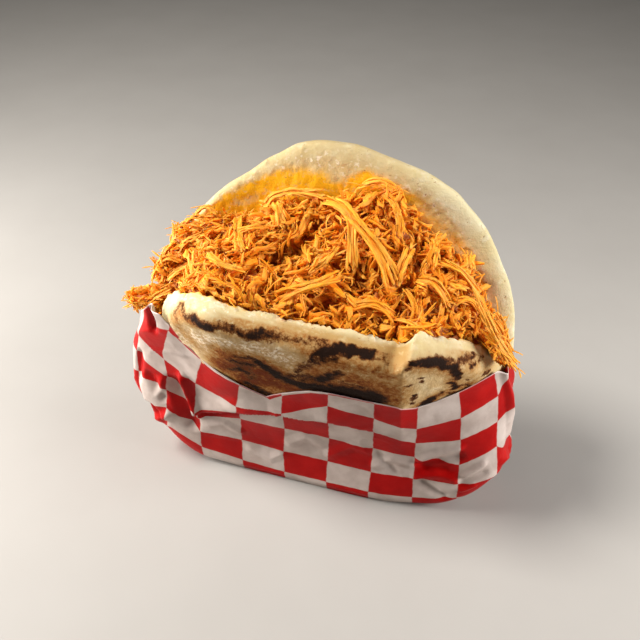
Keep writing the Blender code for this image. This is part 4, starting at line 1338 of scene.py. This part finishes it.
def corn_dough():
    """Griddled white corn dough: pale soft rim, toasted and charred face, torn moist crumb, oil stains."""
    f = Finish("griddled_corn_dough")
    where = f.place()
    patchy = f.cloud(where, 3.2, 4.0)
    speck = f.cloud(where, 0.7, 2.0)
    grit = f.cloud(where, 0.42, 2.0)
    base = f.mix(f.ramp(f.cloud(where, 9.0), 0.3, 0.7), (0.68, 0.605, 0.385), (0.63, 0.53, 0.275))
    base = f.mix(f.times(f.ramp(patchy, 0.5, 0.7), 0.6), base, (0.76, 0.715, 0.53))
    crumb = f.mix(f.ramp(patchy, 0.35, 0.65), (0.69, 0.53, 0.23), (0.77, 0.65, 0.36))
    base = f.mix(f.field("pocket"), base, crumb)
    # Tan: toasting on the front rim band, with painted shade by the crease; on the back leaf's top it is
    # painted shade
    tan_and_shade = f.times(f.field("tan_and_shade"), f.ramp(f.cloud(where, 2.8, 5.0, 0.65), 0.15, 0.52))
    base = f.mix(tan_and_shade, base, (0.44, 0.275, 0.10))
    face = f.mix(f.ramp(patchy, 0.34, 0.66), (0.56, 0.36, 0.165), (0.78, 0.61, 0.36))
    base = f.mix(f.times(f.field("griddled"), 0.75), base, face)
    grain = f.mix(f.ramp(f.cloud(where, 0.8, 3.0), 0.44, 0.62), (0.50, 0.31, 0.145), (0.90, 0.78, 0.60))
    base = f.mix(f.times(f.field("greyed"), 0.8), base, grain)
    white = f.times(f.field("tear"), f.ramp(f.cloud(where, 1.4, 3.0), 0.54, 0.68))
    base = f.mix(f.times(white, 0.8), base, (0.86, 0.79, 0.62))
    oil = f.times(f.field("oil"), f.ramp(f.cloud(where, 1.6, 5.0, 0.7), 0.15, 0.62))
    base = f.mix(f.ramp(oil, 0.0, 0.7), base, (0.84, 0.43, 0.012))
    olive = f.times(f.field("olive"), f.ramp(patchy, 0.38, 0.62))
    base = f.mix(f.times(olive, 0.85), base, (0.42, 0.235, 0.04))
    # Toasting browns the face; by the crease part of it is painted shade
    uneven = f.times(f.minus(f.cloud(where, 1.3, 6.0, 0.75), 0.52), 2.4)
    uneven = f.times(uneven, f.ramp(f.field("toast_and_shade"), 0.1, 0.7))
    toast_and_shade = f.plus(f.field("toast_and_shade"), uneven)
    base = f.mix(f.ramp(toast_and_shade, 0.0, 0.45), base, (0.43, 0.25, 0.09))
    base = f.mix(f.ramp(toast_and_shade, 0.3, 0.85), base, (0.31, 0.105, 0.018))
    base = f.mix(f.ramp(toast_and_shade, 0.65, 1.2), base, (0.15, 0.028, 0.004))
    dots = f.times(f.ramp(speck, 0.66, 0.73), f.ramp(patchy, 0.42, 0.55))
    base = f.mix(f.times(dots, 0.8), base, (0.28, 0.13, 0.04))
    clouds = f.minus(f.cloud(where, 1.7, 6.0, 0.7), 0.5)
    broken = f.plus(f.field("char"), f.times(clouds, 1.5))
    fine = f.times(f.minus(f.cloud(where, 0.5, 3.0, 0.7), 0.5), 0.9)
    broken = f.plus(broken, fine)
    scorched = f.times(f.ramp(broken, 0.2, 0.6), f.ramp(f.field("char"), 0.02, 0.3))
    base = f.mix(scorched, base, (0.14, 0.042, 0.008))
    burnt = f.times(f.ramp(broken, 0.42, 0.9), f.ramp(f.field("char"), 0.1, 0.4))
    base = f.mix(burnt, base, (0.014, 0.005, 0.002))
    relief = f.bump(f.cloud(where, 0.8, 4.0, 0.6), 0.6, 0.3)
    relief = f.bump(f.times(grit, f.plus(0.45, f.field("griddled"))), 0.6, 0.25, relief)
    roughness = f.minus(0.74, f.times(oil, 0.34))
    return f.finish(base, roughness, relief, Specular_IOR_Level=0.09, Subsurface_Scale=1.0,
                    Subsurface_Weight=0.06, Subsurface_Radius=(0.0015, 0.0008, 0.0004))


def stewed_chicken():
    """Orange stewed chicken: fibres along each shred with brighter ridges, moist, and painted shade that
    turns it dark red-brown between the shreds, the lower a point lies in the heap.
    """
    f = Finish("stewed_chicken")
    stretched = {"Vector": f.chart("strand"), "Scale": (0.22, 3.2, 1.0)}
    lengthwise = f.node("ShaderNodeMapping", None, stretched).outputs[0]
    where = f.place()
    fibre = f.cloud(lengthwise, 1.0, 3.0)
    patchy = f.cloud(where, 3.0, 3.0)
    fine = f.cloud(where, 0.5, 3.0)
    tone = f.field("tone")
    bright = f.mix(f.ramp(tone, 0.0, 1.0), (0.96, 0.32, 0.010), (1.0, 0.45, 0.050))
    colour = f.mix(f.ramp(fibre, 0.36, 0.60), (0.86, 0.26, 0.004), bright)
    colour = f.mix(f.times(f.ramp(patchy, 0.55, 0.75), 0.4), colour, (1.0, 0.50, 0.09))
    # Painted shade: the lower a point lies in the heap, the more it turns dark red-brown
    depth_shade = f.plus(f.field("depth_shade"), f.times(f.minus(patchy, 0.5), 0.35))
    colour = f.mix(f.times(f.ramp(depth_shade, 0.6, 1.15), 0.75), colour, (0.36, 0.075, 0.003))
    relief = f.bump(fibre, 0.5, 0.25)
    relief = f.bump(fine, 0.5, 0.16, relief)
    roughness = f.plus(0.46, f.times(fibre, 0.22))
    return f.finish(colour, roughness, relief, Specular_IOR_Level=0.27, Subsurface_Scale=1.0,
                    Subsurface_Weight=0.4, Subsurface_Radius=(0.0012, 0.0009, 0.0006))


def deep_chicken():
    """The wet mass that shows between the shreds, its dark colour painted shade."""
    f = Finish("deep_chicken")
    where = f.place()
    patchy = f.cloud(where, 1.8, 4.0)
    colour = f.mix(f.ramp(patchy, 0.35, 0.7), (0.34, 0.07, 0.004), (0.64, 0.21, 0.012))
    relief = f.bump(f.cloud(where, 0.8, 3.0), 0.8, 0.4)
    return f.finish(colour, f.plus(0.4, f.times(patchy, 0.3)), relief, Specular_IOR_Level=0.3)


def checked_paper():
    """Thin waxed paper printed with a red check: creased, faintly mottled, pale along its cut edge."""
    f = Finish("checked_paper")
    where = f.place()
    counts = f.node("ShaderNodeSeparateXYZ", None, {"Vector": f.chart("check")})
    column = f.plus(counts.outputs["X"], 40.0)
    row = f.plus(counts.outputs["Y"], 40.0)
    wobble = f.times(f.minus(f.cloud(where, 2.5, 2.0), 0.5), 0.16)

    def stripe(count):
        turn = f.plus(f.times(count, math.pi), wobble)
        return f.ramp(f.math("SINE", turn), -0.045, 0.045)

    differs = f.math("ABSOLUTE", f.minus(stripe(column), stripe(row)))
    mottle = f.cloud(where, 6.0, 4.0)
    red = f.mix(f.ramp(mottle, 0.3, 0.7), (0.36, 0.0015, 0.0015), (0.45, 0.004, 0.003))
    # The white is paper white, darkened and warmed as painted shade
    white = f.mix(f.ramp(mottle, 0.3, 0.7), (0.46, 0.37, 0.325), (0.60, 0.505, 0.455))
    colour = f.mix(differs, red, white)
    colour = f.mix(f.times(f.field("edge"), 0.55), colour, (0.9, 0.78, 0.74))
    relief = f.bump(f.cloud(where, 5.0, 5.0, 0.6), 0.35, 0.6)
    relief = f.bump(f.cloud(where, 0.5, 2.0), 0.12, 0.1, relief)
    roughness = f.plus(0.36, f.times(mottle, 0.16))
    return f.finish(colour, roughness, relief, Specular_IOR_Level=0.11)


def table_top():
    """A plain pale floor."""
    f = Finish("pale_floor")
    where = f.place()
    colour = f.mix(f.cloud(where, 40.0), (0.34, 0.322, 0.30), (0.38, 0.362, 0.34))
    return f.finish(colour, 0.7, f.bump(f.cloud(where, 1.0), 0.1, 0.1))


def wear(obj, material):
    """Gives a piece its one material."""
    obj.data.materials.clear()
    obj.data.materials.append(material)


# The lamps: place, size and power, and colour
LAMPS = {
    "key_light": ((-0.32, -0.07, 0.56), 0.2, 4.4, (1.0, 0.97, 0.92)),
    "fill_light": ((0.33, -0.015, 0.16), 0.16, 1.5, (1.0, 0.98, 0.96)),
    "side_light": ((-0.30, -0.05, 0.10), 0.16, 1.6, (1.0, 0.96, 0.92)),
}
LIT_POINT = Vector((0, 0, 0.045))
DAYLIGHT = (1.0, 0.97, 0.93, 1)
DAYLIGHT_STRENGTH = 0.05
FLOOR_HALF = 3

# The camera, from the photograph: place, degrees up from straight down, degrees round and lens
CAMERA_PLACE = (0.04058, -0.15818, 0.1754)
CAMERA_TILT = 52.85
CAMERA_TURN = 14
CAMERA_SENSOR = 36
CAMERA_LENS = 43.875
CAMERA_NEAREST = 0.01


def add_light(name, place, size, power, colour):
    """A soft lamp that faces the object's middle."""
    data = bpy.data.lights.new(name, "AREA")
    data.shape = "DISK"
    data.size = size
    data.energy = power
    data.color = colour
    lamp = add_object(name, data)
    lamp.location = place
    lamp.rotation_euler = (LIT_POINT - Vector(place)).to_track_quat("-Z", "Y").to_euler()


def make_studio():
    """Floor, lights and the camera at the photograph's viewing angle."""
    floor_mesh = bpy.data.meshes.new("floor")
    corners = [(-1, -1), (1, -1), (1, 1), (-1, 1)]
    floor_mesh.from_pydata([(x * FLOOR_HALF, y * FLOOR_HALF, 0) for x, y in corners], [], [(0, 1, 2, 3)])
    floor_mesh.materials.append(table_top())
    floor = add_object("floor", floor_mesh)
    for name, lamp in LAMPS.items():
        add_light(name, *lamp)
    world = bpy.data.worlds.new("studio")
    world.use_nodes = True
    background = world.node_tree.nodes["Background"].inputs
    background["Color"].default_value = DAYLIGHT
    background["Strength"].default_value = DAYLIGHT_STRENGTH
    bpy.context.scene.world = world
    bpy.context.scene.view_settings.view_transform = "Standard"
    data = bpy.data.cameras.new("camera")
    data.sensor_width = CAMERA_SENSOR
    data.lens = CAMERA_LENS
    data.clip_start = CAMERA_NEAREST
    camera = add_object("camera", data)
    camera.location = CAMERA_PLACE
    camera.rotation_euler = (math.radians(CAMERA_TILT), 0, math.radians(CAMERA_TURN))
    bpy.context.scene.camera = camera


# The scattered shreds. Their shapes: how many there are, sides, segments, width, length, most strands beside
# the first, and seed. Their scatter: seed, spacing, points per square millimetre, smallest and largest size,
# tilt in radians and depth
SHREDS = {
    "strips": ((16, 8, 6, 1.7, 7.6, 3, 40), (5, 2.2, 0.2, 0.7, 1.3, 0.6, 2.4)),
    "slivers": ((14, 5, 4, 0.85, 4.4, 2, 400), (9, 1.15, 0.65, 0.7, 1.3, 0.75, 2.2)),
    "crumbs": ((8, 6, 3, 1.5, 2.4, 0, 1200), (19, 1.7, 0.25, 0.6, 1.3, 0.9, 1.6)),
    "threads": ((6, 3, 4, 0.4, 4.6, 0, 800), (14, 1.6, 0.3, 0.6, 1.2, 0.7, 1.2)),
}

# The shreds that also stand on the lumps at the two ends
ON_LUMPS = ("slivers", "crumbs")


def make_layers(meat):
    """The scattered shreds, one piece for each kind."""
    plain_sheet = heap_sheet("plain_sheet", 0.0, False)
    lumpy_sheet = heap_sheet("lumpy_sheet", -0.05, True)
    layers = []
    for name, (shape, scatter) in SHREDS.items():
        tree = scatter_tree(f"{name}_scatter", kinds_of_shred(name, *shape), meat, *scatter)
        layers.append(tree.apply(lumpy_sheet if name in ON_LUMPS else plain_sheet, f"chicken_{name}"))
    bpy.data.objects.remove(plain_sheet)
    bpy.data.objects.remove(lumpy_sheet)
    return layers


def main():
    make_studio()
    bread = make_bread()
    wear(bread, corn_dough())
    paper = make_paper()
    wear(paper, checked_paper())
    meat = stewed_chicken()
    core = make_core()
    wear(core, deep_chicken())
    layers = make_layers(meat)
    bundles = make_bundles()
    wear(bundles, meat)
    for piece in layers + [bundles]:
        tend(piece)
    for piece in (bread, paper, core, bundles, *layers):
        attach(piece, "root")
    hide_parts("arepa_bread")
    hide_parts("paper_wrap")
    for piece in (core, bundles, *layers):
        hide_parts("shredded_chicken")


main()
